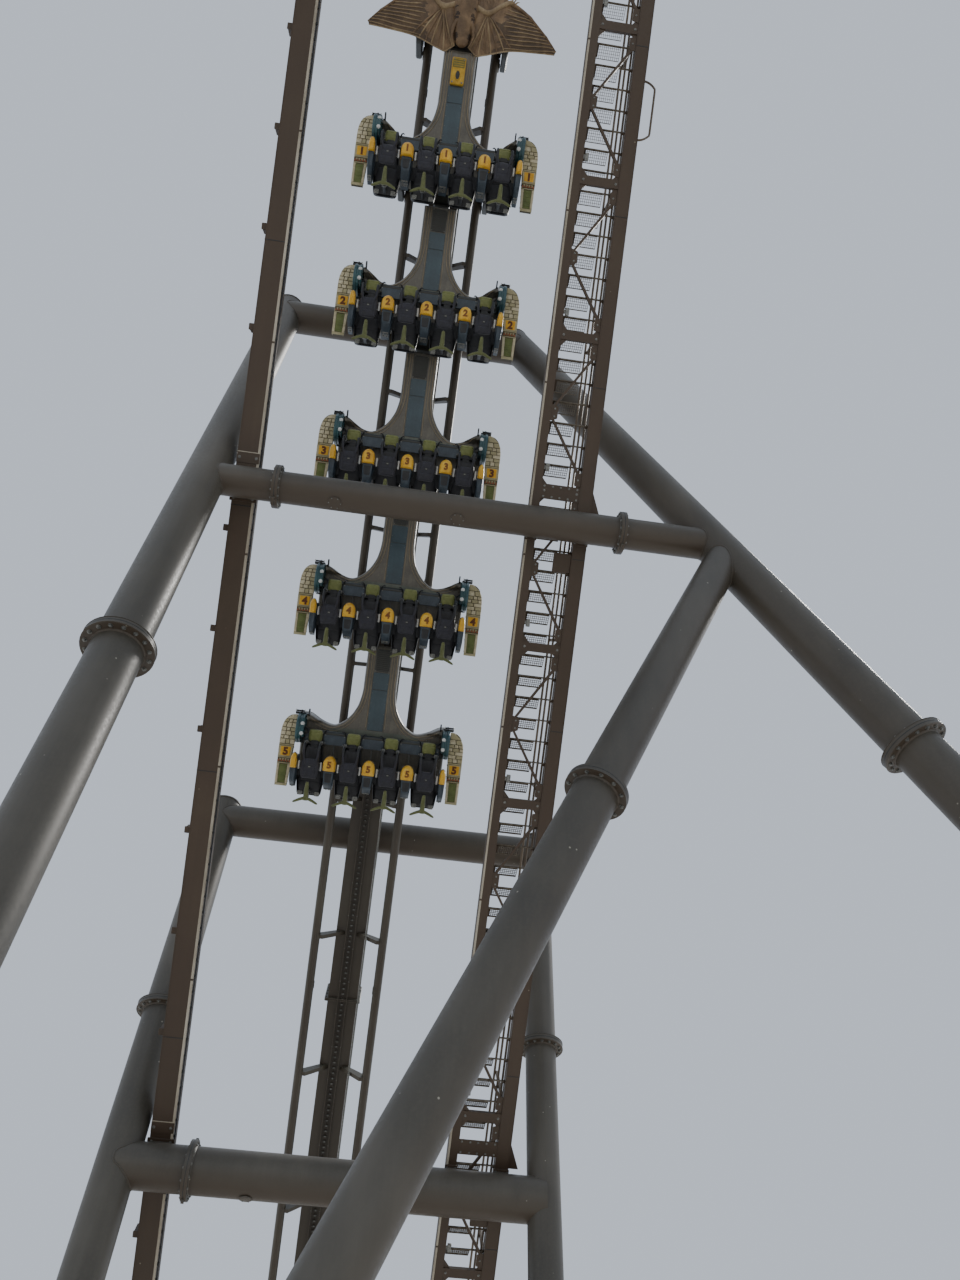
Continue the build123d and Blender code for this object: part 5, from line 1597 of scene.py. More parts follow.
def coupler():
    """Yellow plate with a slotted hole whose dark inside is painted shade (a black disc), a greenish uphill field, a
    raised rim and corner bolts.
    """
    b = Build()
    c = 9.416
    mx = Matrix.Translation((c, 0, 0))
    b.prism(rounded([(-0.243, -0.123), (0.243, -0.123), (0.243, 0.123), (-0.243, 0.123)], 0.03, 4), -0.928, -0.882, 0, mx, chamfer=0.006)
    b.prism(rounded([(0.060, -0.105), (0.226, -0.105), (0.226, 0.105), (0.060, 0.105)], 0.02, 3), -0.932, -0.926, 1, mx, chamfer=0.002)
    rim = [(c + x, y, -0.929) for x, y in rounded([(-0.229, -0.109), (0.229, -0.109), (0.229, 0.109), (-0.229, 0.109)], 0.03, 4)]
    b.tube(rim, 0.006, 6, 0, closed=True)
    slot = []
    for k in range(24):
        t = 2 * math.pi * k / 24
        slot.append((c - 0.075 + 0.085 * math.cos(t), 0.046 * math.sin(t), -0.929))
    b.tube(slot, 0.009, 8, 0, closed=True)
    # black disc filling the slot: painted shade standing for the dark inside of the hole
    b.prism([(p[0] - c, p[1]) for p in slot], -0.9305, -0.927, 2, mx)
    for x in (-0.205, 0.205):
        for y in (-0.088, 0.088):
            b.bolt((c + x, y, -0.928), (0, 0, -1), 0.013, 0.009, 3)
    for x in (0.085, 0.125, 0.165, 0.205):
        b.box(c + x - 0.004, c + x + 0.004, -0.09, 0.09, -0.9345, -0.931, 0)
    return b


make("coupler_plate_body", coupler(), ["plate", "plate_green", "black", "galv"], "train", TRACK, replaces=("coupler_plate",), slot="plate_yellow")

# ------------------------------------------------------------ figurehead
TRAIL = [(9.875, 0.12), (9.800, 0.20), (9.738, 0.29), (9.775, 0.42), (9.835, 0.58), (9.905, 0.77), (9.945, 0.98), (9.966, 1.22), (9.984, 1.46), (9.994, 1.66)]
LEAD = [(10.975, 0.16), (10.955, 0.33), (10.915, 0.49), (10.855, 0.65), (10.770, 0.82), (10.700, 0.97), (10.590, 1.145), (10.440, 1.315), (10.290, 1.475),
        (10.165, 1.59), (10.055, 1.685)]
TRAIL_S = catmull([Vector(p) for p in TRAIL], 5)
LEAD_S = catmull([Vector(p) for p in LEAD], 5)
ELBOW = (10.505, 0.40)


def along(pts, t):
    x = min(max(t, 0.0), 1.0) * (len(pts) - 1)
    i = min(int(x), len(pts) - 2)
    return Vector(pts[i]).lerp(Vector(pts[i + 1]), x - i)


def wing_at(a, y):
    """(u, v) of a place (a, y) on the wing."""
    u, v = y / 1.69, 0.5
    for _ in range(7):
        lo, hi = 0.0, 1.0
        for _ in range(18):
            m = (lo + hi) / 2
            if along(TRAIL_S, m).y * (1 - v) + along(LEAD_S, m).y * v < y:
                lo = m
            else:
                hi = m
        u = lo
        t, l = along(TRAIL_S, u), along(LEAD_S, u)
        v = min(max((a - t.x) / (l.x - t.x), 0.0), 1.0)
    return u, v


def wing_n(u, v):
    """Height of the membrane's lower face: cambered, with folds fanning from the elbow."""
    fold = 0.012 * math.sin(u * 38 + 1.2 * math.sin(v * 5)) * math.exp(-((u - 0.22) / 0.20) ** 2) * math.sin(math.pi * min(max(v, 0.03), 0.97)) ** 0.5
    camber = -0.040 * math.sin(math.pi * v) ** 0.8 * (1 - 0.55 * u)
    return -0.890 + camber * 0.9 + fold - 0.006 * (1 - v)


def wing_point(u, v, s, off=0):
    p = along(TRAIL_S, u).lerp(along(LEAD_S, u), v)
    thin = 0.018 + 0.026 * math.sin(math.pi * v) ** 0.7 * (1 - u * 0.6)
    edge = min(1.0, 8 * min(v, 1 - v, 1 - u + 0.02))
    return Vector((p.x, s * p.y, wing_n(u, v) + (thin * edge * 0.5 if off else -thin * edge * 0.5)))


def wing(s):
    b = Build()
    rng = random.Random(31 + s)
    jag = [rng.uniform(-0.045, 0.045) for _ in range(60)]

    def mat(u, v):
        return 1 if u < 0.40 + jag[int(v * 30)] + 0.05 * math.sin(v * 9) else 0

    b.grid(lambda u, v: wing_point(u, v, s, 0), 96, 40, 0, matfn=mat)
    b.grid(lambda u, v: wing_point(u, v, s, 1), 96, 40, 0, matfn=mat)
    # upper arm back to the elbow, forearm up to the wrist, long finger along the leading edge
    arm = catmull([Vector(q) for q in ((10.640, 0.02, -0.955), (10.600, 0.13, -0.950), (10.535, 0.27, -0.940), (10.503, 0.38, -0.936), (10.535, 0.46, -0.934),
                                       (10.615, 0.55, -0.930), (10.705, 0.655, -0.926), (10.765, 0.755, -0.918), (10.775, 0.815, -0.912))], 4)
    n = len(arm)
    b.tube([(q.x, s * q.y, q.z) for q in arm], [0.050 - 0.016 * (k / n) + 0.012 * math.exp(-((k - 13) / 2.2) ** 2) + 0.010 * math.exp(-((k - n + 2) / 2.0) ** 2) for k in range(n)], 12, 2)
    lead = [along(LEAD_S, 0.40 + 0.60 * t / 40) for t in range(41)]
    b.tube([(p.x - 0.010, s * (p.y - 0.004), -0.900) for p in lead], [0.036 - 0.024 * (k / 40) ** 0.8 + 0.007 * math.exp(-((k - 14) / 1.3) ** 2) + 0.005 * math.exp(-((k - 27) / 1.2) ** 2) for k in range(41)], 12, 1)
    inner = [along(LEAD_S, 0.42 * t / 16) for t in range(17)]
    b.tube([(p.x - 0.006, s * p.y, -0.894) for p in inner], 0.013, 8, 1)
    for k, (da, dy) in enumerate(((0.095, 0.01), (0.085, 0.055), (0.055, 0.090))):
        a0, y0 = 10.775 - 0.012 * k, 0.80 + 0.022 * k
        b.tube([(a0, s * y0, -0.915), (a0 + da * 0.6, s * (y0 + dy * 0.5), -0.932), (a0 + da, s * (y0 + dy), -0.918)], [0.017, 0.012, 0.003], 8, 3)
    # stiffening ribs of the outer wing, nearly straight across, drawn together towards the tip
    for k in range(10):
        a_out, a_in = 10.035 + 0.060 * k, 9.948 + 0.077 * k
        t = 0.0
        while t < 1 and along(LEAD_S, 1 - t).x < a_out + 0.012:
            t += 0.004
        y_out = along(LEAD_S, 1 - t).y - 0.012
        y_in = 0.735 + 0.045 * math.sin(2.1 * k)
        path = []
        for j in range(17):
            f = j / 16
            u, v = wing_at(a_in + (a_out - a_in) * f + 0.004 * math.sin(9 * f + k), y_in + (y_out - y_in) * f)
            q = wing_point(u, v, s)
            path.append((q.x, q.y, q.z - 0.003))
        b.tube(path, [0.0035 + 0.0075 * min(1.0, 5 * f / 16 + 0.1) * (1 - 0.35 * f / 16) for f in range(17)], 8, 2)
    # creases fanning from the elbow to the rear rim
    for k, y in enumerate((0.17, 0.25, 0.33, 0.42, 0.52, 0.63, 0.76, 0.90)):
        u1 = wing_at(9.8, y)[0]
        path = []
        for j in range(15):
            f = j / 14
            e = along(TRAIL_S, u1)
            a0, y0 = ELBOW[0] - 0.045, ELBOW[1] + 0.03 * (k - 3.5) / 3.5
            u, v = wing_at(a0 + (e.x + 0.02 - a0) * f, y0 + (e.y - y0) * f + 0.012 * math.sin(4 * f + k))
            q = wing_point(u, v, s)
            path.append((q.x, q.y, q.z - 0.001))
        b.tube(path, [0.004 + 0.014 * math.sin(math.pi * (0.10 + 0.78 * j / 14)) for j in range(15)], 8, 1 if k % 2 else 2)
    # short wrinkles between the arm and the leading edge
    for k in range(6):
        path = []
        for j in range(9):
            f = j / 8
            u, v = wing_at(10.60 + 0.03 * k + (0.30 - 0.03 * k) * f, 0.20 + 0.075 * k + 0.03 * math.sin(3 * f + k))
            q = wing_point(u, v, s)
            path.append((q.x, q.y, q.z - 0.001))
        b.tube(path, [0.003 + 0.009 * math.sin(math.pi * (j + 0.5) / 9) for j in range(9)], 6, 1)
    # pale tube along the rear rim: painted highlight standing for the sunlit edge
    rim = [wing_point(t / 60, 0.006, s) for t in range(61)]
    b.tube([(q.x, q.y, q.z) for q in rim], [0.012] * 61, 8, 2)
    return b


BODY = [(9.846, 0.060, -0.945, 0.050), (9.90, 0.112, -0.950, 0.080), (10.00, 0.142, -0.953, 0.100), (10.14, 0.164, -0.955, 0.118), (10.30, 0.186, -0.957, 0.134),
        (10.48, 0.204, -0.957, 0.150), (10.64, 0.206, -0.957, 0.154), (10.79, 0.182, -0.957, 0.144), (10.90, 0.146, -0.960, 0.124), (10.99, 0.108, -0.966, 0.100),
        (11.10, 0.088, -0.974, 0.086), (11.22, 0.084, -0.982, 0.083), (11.32, 0.100, -0.988, 0.094), (11.41, 0.122, -0.992, 0.106), (11.50, 0.131, -0.994, 0.110),
        (11.59, 0.122, -0.997, 0.104), (11.68, 0.098, -1.000, 0.088), (11.79, 0.070, -1.004, 0.067), (11.91, 0.050, -1.006, 0.050), (12.04, 0.034, -1.006, 0.036),
        (12.14, 0.018, -1.004, 0.020), (12.192, 0.004, -1.002, 0.005)]
PATCHES = [(10.300, 0.140, 0.060, 0.046), (9.965, 0.122, 0.055, 0.040), (10.130, 0.150, 0.040, 0.026), (10.46, 0.165, 0.034, 0.026)]


def reptile():
    b = Build()
    seg = 56
    rows = []
    cs = catmull([Vector((a, w, n)) for a, w, n, h in BODY], 7)
    hs = catmull([Vector((a, h, 0)) for a, w, n, h in BODY], 7)
    for c, h in zip(cs, hs):
        ring = []
        for k in range(seg):
            t = 2 * math.pi * k / seg
            cx, sx = math.cos(t), math.sin(t)
            keel = 1 + 0.08 * max(0.0, -sx) ** 6
            w = max(c.y, 0.003)
            hh = max(h.y, 0.003)
            scale = 1 + 0.012 * math.sin(c.x * 95) * max(0.0, -sx)
            ring.append((c.x, math.copysign(abs(cx) ** 0.92, cx) * w, c.z + math.copysign(abs(sx) ** 0.95, sx) * hh * keel * scale))
        rows.append(ring)
    v = [p for r in rows for p in r]
    plain, dark = [], []
    for i in range(len(rows) - 1):
        for k in range(seg):
            l = (k + 1) % seg
            q = rows[i][k]
            spot = any(((q[0] - a) / ra) ** 2 + ((abs(q[1]) - y) / ry) ** 2 < 1 + 0.35 * math.sin(q[0] * 160) for a, y, ra, ry in PATCHES) and q[2] < -0.93
            (dark if spot else plain).append((i * seg + k, i * seg + l, (i + 1) * seg + l, (i + 1) * seg + k))
    plain.append(tuple(range(seg)))
    plain.append(tuple((len(rows) - 1) * seg + k for k in range(seg)))
    o = len(b.v)
    b.add(v, plain, 0)
    for f in dark:
        b.f.append([o + i for i in f])
        b.m.append(4)
    # crest plates along the head and the lower jaw line
    b.prism([(11.24, -0.915), (11.46, -0.868), (11.62, -0.876), (11.76, -0.918), (11.55, -0.940)], -0.012, 0.012, 1,
            Matrix(((1, 0, 0, 0), (0, 0, 1, 0), (0, 1, 0, 0), (0, 0, 0, 1))), chamfer=0.005)
    for s in (-1, 1):
        b.tube([(11.66, s * 0.100, -1.02), (11.80, s * 0.068, -1.028), (11.97, s * 0.042, -1.026), (12.15, s * 0.016, -1.012)], [0.007, 0.006, 0.005, 0.003], 6, 2)
        # brow ridge and eye
        b.tube([(11.42, s * 0.122, -0.958), (11.51, s * 0.138, -0.953), (11.60, s * 0.122, -0.961), (11.67, s * 0.098, -0.975)], [0.008, 0.015, 0.012, 0.005], 8, 1)
        b.lathe([(0.020, -0.006), (0.019, 0.004), (0.012, 0.011), (0, 0.014)], (11.535, s * 0.124, -0.988), (0.1, s, -0.35), 16, 3)
        # ribs under the skin of the belly
        for k in range(8):
            a = 10.02 + 0.090 * k
            w = 0.95 * interp([(p[0], p[1]) for p in BODY], a)
            h = interp([(p[0], p[3]) for p in BODY], a)
            n = interp([(p[0], p[2]) for p in BODY], a)
            path = []
            for j in range(9):
                t = math.radians(-84 + 72 * j / 8)
                path.append((a + 0.03 * j / 8, s * w * 1.03 * math.cos(t), n + h * 1.05 * math.sin(t)))
            b.tube(path, [0.003 + 0.006 * math.sin(math.pi * (j + 0.6) / 9) for j in range(9)], 6, 0)
        # hind legs laid along the flanks
        b.tube([(10.25, s * 0.120, -1.020), (10.13, s * 0.172, -1.015), (10.00, s * 0.190, -1.000), (9.91, s * 0.172, -0.985), (9.866, s * 0.152, -0.975)],
               [0.040, 0.038, 0.026, 0.018, 0.013], 10, 0)
        for k in (-1, 0, 1):
            b.tube([(9.875, s * 0.152, -0.975), (9.850, s * (0.152 + 0.018 * k), -0.976), (9.834, s * (0.152 + 0.026 * k), -0.972)], [0.008, 0.006, 0.002], 6, 2)
        # folds of the neck
        for k in range(6):
            a = 10.94 + 0.055 * k
            w = interp([(p[0], p[1]) for p in BODY], a)
            h = interp([(p[0], p[3]) for p in BODY], a)
            n = interp([(p[0], p[2]) for p in BODY], a)
            path = [(a + 0.012 * math.sin(j), s * w * 1.01 * math.cos(math.radians(-85 + 80 * j / 6)), n + h * 1.02 * math.sin(math.radians(-85 + 80 * j / 6))) for j in range(7)]
            b.tube(path, [0.004, 0.006, 0.007, 0.007, 0.006, 0.005, 0.003], 6, 0)
    # saddle that ties the back to the lead frame
    b.prism(rounded([(9.98, -0.15), (10.86, -0.15), (10.86, 0.15), (9.98, 0.15)], 0.05, 3), -0.86, -0.794, 0, chamfer=0.01)
    return b


make("figure_body", reptile(), ["hide", "bone", "beak", "eye", "patch"], "train", TRACK, replaces=("figurehead",), slot="figurehead_skin", angle=60)
for s, side in ((-1, "left"), (1, "right")):
    make(f"figure_{side}_wing", wing(s), ["wing", "hide", "bone", "beak"], "train", TRACK, replaces=("figurehead",), slot="figurehead_skin",
         angle=60, merge=True)

# ------------------------------------------------------------ structure: bents
BX = [X0 + v for v in (11.14, 3.34, -4.46, -12.26)]
DROP = [4.75, 4.75, 4.79, 4.79]
LOW_R = [0.235, 0.235, 0.318, 0.318]
FOOT_Y = [12.6, 11.2, 3.47, 3.47]
TOP_Y = [1.87, 1.87, 3.47, 3.47]
RIGHT_R = [0.305, 0.305, 0.255, 0.255]
LEFT_Y = TY - 2.83
IDENT = Matrix.Identity(4)
BENT = []
for i, x in enumerate(BX):
    rail = Z0 + (x - X0) * TA
    top, low = rail + 1.69, rail - DROP[i]
    k = (FOOT_Y[i] - TOP_Y[i]) / top
    BENT.append(dict(x=x, top=top, low=low, k=k, yt=TY + TOP_Y[i], yf=TY + FOOT_Y[i], r=RIGHT_R[i], lr=LOW_R[i]))


def pierce(p, d, q, ax, R):
    """Distance from p along d to the near side of the cylinder about the axis (q, ax)."""
    ax = ax.normalized()
    w = p - q
    dp, wp = d - ax * d.dot(ax), w - ax * w.dot(ax)
    a, b, c = dp.dot(dp), 2 * dp.dot(wp), wp.dot(wp) - R * R
    disc = max(b * b - 4 * a * c, 0.0)
    return (-b - math.sqrt(disc)) / (2 * a)


def weld(b, start, d, r, q, ax, R, seg=44, bead=0.012, mat=0):
    """Bead where a tube (start, d, r) meets the cylinder (q, ax, R)."""
    d = d.normalized()
    ref = Vector((0, 0, 1)) if abs(d.z) < 0.9 else Vector((1, 0, 0))
    u = d.cross(ref).normalized()
    w = d.cross(u)
    pts = []
    for k in range(seg):
        t = 2 * math.pi * k / seg
        p = start + (u * math.cos(t) + w * math.sin(t)) * r
        pts.append(p + d * pierce(p, d, q, ax, R))
    b.tube(pts, bead, 8, mat, closed=True)


def bolt_ring(b, c, ax, r, count, size, h, mat, start=0.0):
    ax = Vector(ax).normalized()
    ref = Vector((0, 0, 1)) if abs(ax.z) < 0.9 else Vector((1, 0, 0))
    u = ax.cross(ref).normalized()
    w = ax.cross(u)
    for k in range(count):
        t = 2 * math.pi * k / count + start
        b.bolt(Vector(c) + (u * math.cos(t) + w * math.sin(t)) * r, ax, size, h, mat)


for i, bt in enumerate(BENT, 1):
    b = Build()
    x = bt["x"]
    zax = Vector((0, 0, 1))
    leg_ax = Vector((0, -bt["k"], 1)).normalized()
    leg_q = Vector((x, bt["yf"], 0))
    left_q = Vector((x, LEFT_Y, 0))
    # splice flanges of both legs: bolts on both faces and the dark joint line between the plates
    for z in (10.0, 19.0):
        if z >= bt["top"] - 2.5:
            continue
        for c, ax, r in ((Vector((x, LEFT_Y, z)), zax, 0.305), (Vector((x, bt["yf"] - bt["k"] * z, z)), leg_ax, bt["r"])):
            R = r + 0.115
            b.lathe([(R - 0.004, -0.005), (R + 0.002, -0.005), (R + 0.002, 0.005), (R - 0.004, 0.005)], c, ax, 64, 2)
            for d in (-1, 1):
                b.lathe([(R - 0.008, 0.040), (R + 0.006, 0.040), (R + 0.006, 0.047), (R - 0.008, 0.0515), (R - 0.016, 0.0515)], c, ax * d, 64, 0)
                bolt_ring(b, c + ax * d * 0.050, ax * d, r + 0.062, 16, 0.021, 0.020, 1, 0.1)
                b.lathe([(r + 0.001, 0.050), (r + 0.016, 0.050), (r + 0.004, 0.068), (r + 0.001, 0.070)], c, ax * d, 48, 0)
    # lower beam flange pairs with an ear above and below
    for y in (-1.77, 3.36):
        if bt["k"] == 0 and y > 0:
            continue
        c = Vector((x, TY + y, bt["low"]))
        R = bt["lr"] + 0.085
        b.lathe([(R - 0.004, -0.004), (R + 0.002, -0.004), (R + 0.002, 0.004), (R - 0.004, 0.004)], c, (0, 1, 0), 56, 2)
        for d in (-1, 1):
            bolt_ring(b, c + Vector((0, d * 0.045, 0)), (0, d, 0), bt["lr"] + 0.046, 14, 0.017, 0.016, 1, 0.15)
            b.lathe([(bt["lr"] + 0.001, 0.045), (bt["lr"] + 0.014, 0.045), (bt["lr"] + 0.001, 0.062)], c, (0, d, 0), 48, 0)
        for dz in (-1, 1):
            b.prism(rounded([(-0.035, R - 0.01), (0.035, R - 0.01), (0.028, R + 0.045), (-0.028, R + 0.045)], 0.012, 2), -0.02, 0.02, 0,
                    Matrix(((1, 0, 0, x), (0, 0, 1, TY + y), (0, dz, 0, bt["low"]), (0, 0, 0, 1))))
    # weld beads at the nodes
    for z, r in ((bt["top"], 0.305), (bt["low"], bt["lr"])):
        weld(b, Vector((x, TY, z)), Vector((0, -1, 0)), r * 0.999, left_q, zax, 0.306)
        weld(b, Vector((x, TY, z)), Vector((0, 1, 0)), min(r, bt["r"]) * 0.999, leg_q, leg_ax, bt["r"] + 0.001)
    if bt["k"]:
        end_z = bt["low"] - 0.25
        node_p = Vector((x, bt["yf"] - bt["k"] * end_z, end_z))
        foot = Vector((x, TY - 1.30, 0))
        d = (node_p - foot).normalized()
        weld(b, foot, d, 0.2598, leg_q, leg_ax, bt["r"] + 0.001)
        z = 10.0 if bt["low"] > 15.0 else 8.6
        k = (node_p.y - foot.y) / end_z
        c = Vector((x, foot.y + k * z, z)) + d * 0.045
        b.lathe([(0.347, -0.004), (0.352, -0.004), (0.352, 0.004), (0.347, 0.004)], c, d, 56, 2)
        for s in (-1, 1):
            bolt_ring(b, c + d * s * 0.045, d * s, 0.306, 12, 0.018, 0.017, 1)
            b.lathe([(0.261, 0.045), (0.275, 0.045), (0.261, 0.062)], c, d * s, 48, 0)
        bolt_ring(b, (x, foot.y, 0.05), (0, 0, 1), 0.340, 6, 0.026, 0.030, 1)
        for g in range(6):
            t = math.pi / 6 + g * math.pi / 3
            mx = Matrix.Translation((x, foot.y, 0.05)) @ Matrix.Rotation(t, 4, "Z") @ Matrix(((1, 0, 0, 0), (0, 0, 1, 0), (0, 1, 0, 0), (0, 0, 0, 1)))
            b.prism([(0.22, 0.0), (0.385, 0.0), (0.385, 0.03), (0.280, 0.20), (0.22, 0.20)], -0.009, 0.009, 0, mx)
    # caps, feet, gussets and anchor nuts
    b.lathe([(0.304, -0.040), (0.316, -0.036), (0.316, -0.014), (0.304, -0.010)], (x, LEFT_Y, bt["top"] + 0.365), (0, 0, 1), 56, 0)
    hi = Vector((x, bt["yt"], bt["top"])) + leg_ax * 0.365
    b.lathe([(bt["r"] - 0.001, -0.040), (bt["r"] + 0.011, -0.036), (bt["r"] + 0.011, -0.014), (bt["r"] - 0.001, -0.010)], hi, leg_ax, 56, 0)
    for fy, r, rake in ((LEFT_Y, 0.305, 0.0), (bt["yf"], bt["r"], bt["k"])):
        bolt_ring(b, (x, fy, 0.05), (0, 0, 1), 0.430, 8, 0.032, 0.036, 1)
        for g in range(8):
            t = math.pi / 8 + g * math.pi / 4
            mx = Matrix.Translation((x, fy, 0.05)) @ Matrix.Rotation(t, 4, "Z") @ Matrix(((1, 0, 0, 0), (0, 0, 1, 0), (0, 1, 0, 0), (0, 0, 0, 1)))
            h = 0.42 if not rake else 0.20
            b.prism([(r - 0.04 - rake * 0.2, 0.0), (0.485, 0.0), (0.485, 0.035), (r + 0.008, h), (r - 0.04 - rake * 0.2, h)], -0.011, 0.011, 0, mx)
    # manhole cover plates on the beams' undersides, with their bolts
    for yy in (-0.9, 0.9):
        b.lathe([(0.10, 0), (0.10, 0.008), (0.085, 0.012), (0, 0.012)], (x, TY + yy, bt["low"] - bt["lr"] + 0.002), (0, 0, -1), 24, 0)
        bolt_ring(b, (x, TY + yy, bt["low"] - bt["lr"] - 0.009), (0, 0, -1), 0.088, 6, 0.007, 0.006, 1)
    make(f"bent_{i}_joints", b, ["structure", "galv", "black"], "structure", IDENT, slot="structure_paint", angle=35)

# saddles: side plates and ribs between the spine and the top beams
b = Build()
for bt in BENT:
    sa = (bt["x"] - X0) / CA + 1.69 * SA
    for s in (-1, 1):
        mx = Matrix(((CA, 0, -SA, X0), (0, s, 0, TY), (SA, 0, CA, Z0), (0, 0, 0, 1)))
        for a in (-0.30, 0.0, 0.30):
            q = Matrix(((0, 0, 1, sa + a), (1, 0, 0, 0), (0, 1, 0, 0), (0, 0, 0, 1)))
            b.prism([(0.245, 0.962), (0.275, 0.962), (0.275, 0.975), (0.252, 1.16), (0.245, 1.16)][::1], -0.010, 0.010, 0, mx @ q)
        b.box(sa - 0.395, sa + 0.395, 0.19, 0.272, 0.962, 0.986, 0, mx)
        for a in (-0.34, -0.17, 0.17, 0.34):
            b.bolt(mx @ Vector((sa + a, 0.262, 0.986)), mx.to_3x3() @ Vector((0, 0, 1)), 0.016, 0.014, 1)
make("saddle_plates", b, ["structure", "galv"], "structure", IDENT, slot="structure_paint", angle=35)

# ------------------------------------------------------------ track: chain, splices, clips
b = Build()
a = -19.08
k = 0
while a < 16.06:
    for s in (-1, 1):
        y = s * (0.0215 if k % 2 else 0.0285)
        plate = rounded([(a - 0.012, 0.268), (a + 0.112, 0.268), (a + 0.112, 0.306), (a - 0.012, 0.306)], 0.016, 1)
        b.prism(plate, -0.0030, 0.0030, 0, TRACK @ Matrix(((1, 0, 0, 0), (0, 0, 1, y), (0, 1, 0, 0), (0, 0, 0, 1))))
    c = TRACK @ Vector((a, 0, 0.287))
    b.lathe([(0, -0.034), (0.008, -0.034), (0.008, -0.018), (0.015, -0.018), (0.015, 0.018), (0.008, 0.018), (0.008, 0.034), (0, 0.034)], c, (0, 1, 0), 6, 1)
    a += 0.1
    k += 1
make("lift_chain_links", b, ["chain", "galv"], "structure", IDENT, replaces=("lift_chain",), slot="chain_steel", angle=35)

ACROSS = Matrix(((0, 0, 1, 0), (1, 0, 0, 0), (0, 1, 0, 0), (0, 0, 0, 1)))


def inner_arc(s, r0, r1):
    """Part ring on the spine side of one rail, which the wheels don't touch."""
    t = [math.radians(105 + 150 * k / 12) for k in range(13)]
    pts = [(0.625 + r1 * math.cos(v), r1 * math.sin(v)) for v in t] + [(0.625 + r0 * math.cos(v), r0 * math.sin(v)) for v in reversed(t)]
    return pts if s > 0 else [(-y, n) for y, n in reversed(pts)]


b = Build()
for a in (-15.25, -7.6, 0.05, 9.1, 14.2):
    for d in (-1, 1):
        outer = rounded([(-0.335, 0.27), (0.335, 0.27), (0.335, 1.02), (-0.335, 1.02)], 0.03, 3)
        b.prism(outer, a - 0.030 if d < 0 else a + 0.002, a - 0.002 if d < 0 else a + 0.030, 0,
                TRACK @ Matrix(((0, 0, 1, 0), (1, 0, 0, 0), (0, 1, 0, 0), (0, 0, 0, 1))), chamfer=0.004)
        for y in (-0.305, 0.305):
            for n in (0.34, 0.50, 0.66, 0.82, 0.97):
                b.bolt(TRACK @ Vector((a + d * 0.030, y, n)), TRACK.to_3x3() @ Vector((d, 0, 0)), 0.015, 0.014, 1)
        for y in (-0.20, -0.07, 0.07, 0.20):
            b.bolt(TRACK @ Vector((a + d * 0.030, y, 0.99)), TRACK.to_3x3() @ Vector((d, 0, 0)), 0.015, 0.014, 1)
    # rail joint sleeves beside each splice
    # on the side that no wheel runs on
    for s in (-1, 1):
        for d in (-1, 1):
            b.prism(inner_arc(s, 0.077, 0.0865), a + 0.35 + (-0.062 if d < 0 else 0.003), a + 0.35 + (-0.003 if d < 0 else 0.062), 0, TRACK @ ACROSS)
for j in range(14):
    a = -19.065 + 2.545 * j
    for s in (-1, 1):
        # weld toes at the rail and stiffening ribs on each tie arm
        b.tube([TRACK @ Vector((a, s * 0.150, 0.322)), TRACK @ Vector((a, s * 0.435, 0.165)), TRACK @ Vector((a, s * 0.560, 0.062))], 0.022, 8, 0)
        b.prism(inner_arc(s, 0.077, 0.0845), a - 0.050, a + 0.050, 0, TRACK @ ACROSS)
    # clip of the thin line
    b.box(a - 0.018, a + 0.018, 0.276, 0.324, 0.070, 0.112, 1, TRACK)
for a in [(-19.0 + 0.62 * j) for j in range(57)]:
    for s in (-1, 1):
        b.bolt(TRACK @ Vector((a, s * 0.081, 0.2285)), TRACK.to_3x3() @ Vector((0, 0, -1)), 0.006, 0.005, 1)
make("track_joints", b, ["track", "galv"], "structure", IDENT, slot="track_paint", angle=35)

# ------------------------------------------------------------ service beam
b = Build()
for a0 in [(-18.9 + 3.2 * j) for j in range(10)]:
    a1 = min(a0 + 3.17, 13.95)
    b.prism([(a0, -2.168), (a1, -2.168), (a1, -2.131), (a0, -2.131)], -3.3955, -3.391, 1, TRACK)
    b.prism([(a0, -2.469), (a1, -2.469), (a1, -2.455), (a0, -2.455)], -3.3955, -3.391, 0, TRACK)
b.tube([TRACK @ Vector((-18.9, -2.112, -3.365)), TRACK @ Vector((13.9, -2.112, -3.365))], 0.011, 10, 2)
a = -18.8
while a < 13.8:
    b.box(a, a + 0.030, -2.131, -2.098, -3.380, -3.350, 2, TRACK)
    a += 0.24
for bt in BENT:
    ca = (bt["x"] - X0) / CA - (Z0 + (bt["x"] - X0) * TA - bt["low"]) * SA
    for s in (-1, 1):
        b.prism(rounded([(ca + s * 0.20 - 0.05, -2.50), (ca + s * 0.20 + 0.05, -2.50), (ca + s * 0.20 + 0.05, -2.10), (ca + s * 0.20 - 0.05, -2.10)], 0.01, 2), -3.412, -3.392, 0, TRACK, chamfer=0.003)
        for y in (-2.44, -2.16):
            b.bolt(TRACK @ Vector((ca + s * 0.20, y, -3.412)), TRACK.to_3x3() @ Vector((0, 0, -1)), 0.018, 0.015, 3)
for bt in BENT:
    ca = (bt["x"] - X0) / CA - (Z0 + (bt["x"] - X0) * TA - bt["low"]) * SA
    b.prism(rounded([(ca + 0.33, -2.472), (ca + 0.49, -2.472), (ca + 0.49, -2.136), (ca + 0.33, -2.136)], 0.010, 2), -3.400, -3.3905, 0, TRACK, chamfer=0.002)
    b.prism([(ca + 0.49, -2.470), (ca + 0.502, -2.470), (ca + 0.502, -2.138), (ca + 0.49, -2.138)], -3.398, -3.3905, 1, TRACK)
    for y in (-2.43, -2.18):
        b.bolt(TRACK @ Vector((ca + 0.41, y, -3.400)), TRACK.to_3x3() @ Vector((0, 0, -1)), 0.016, 0.013, 3)
PEGS = [8.249 - 1.520 * j for j in range(-3, 18)]
CROSS = [(bt["x"] - X0) / CA - 2.7 for bt in BENT]
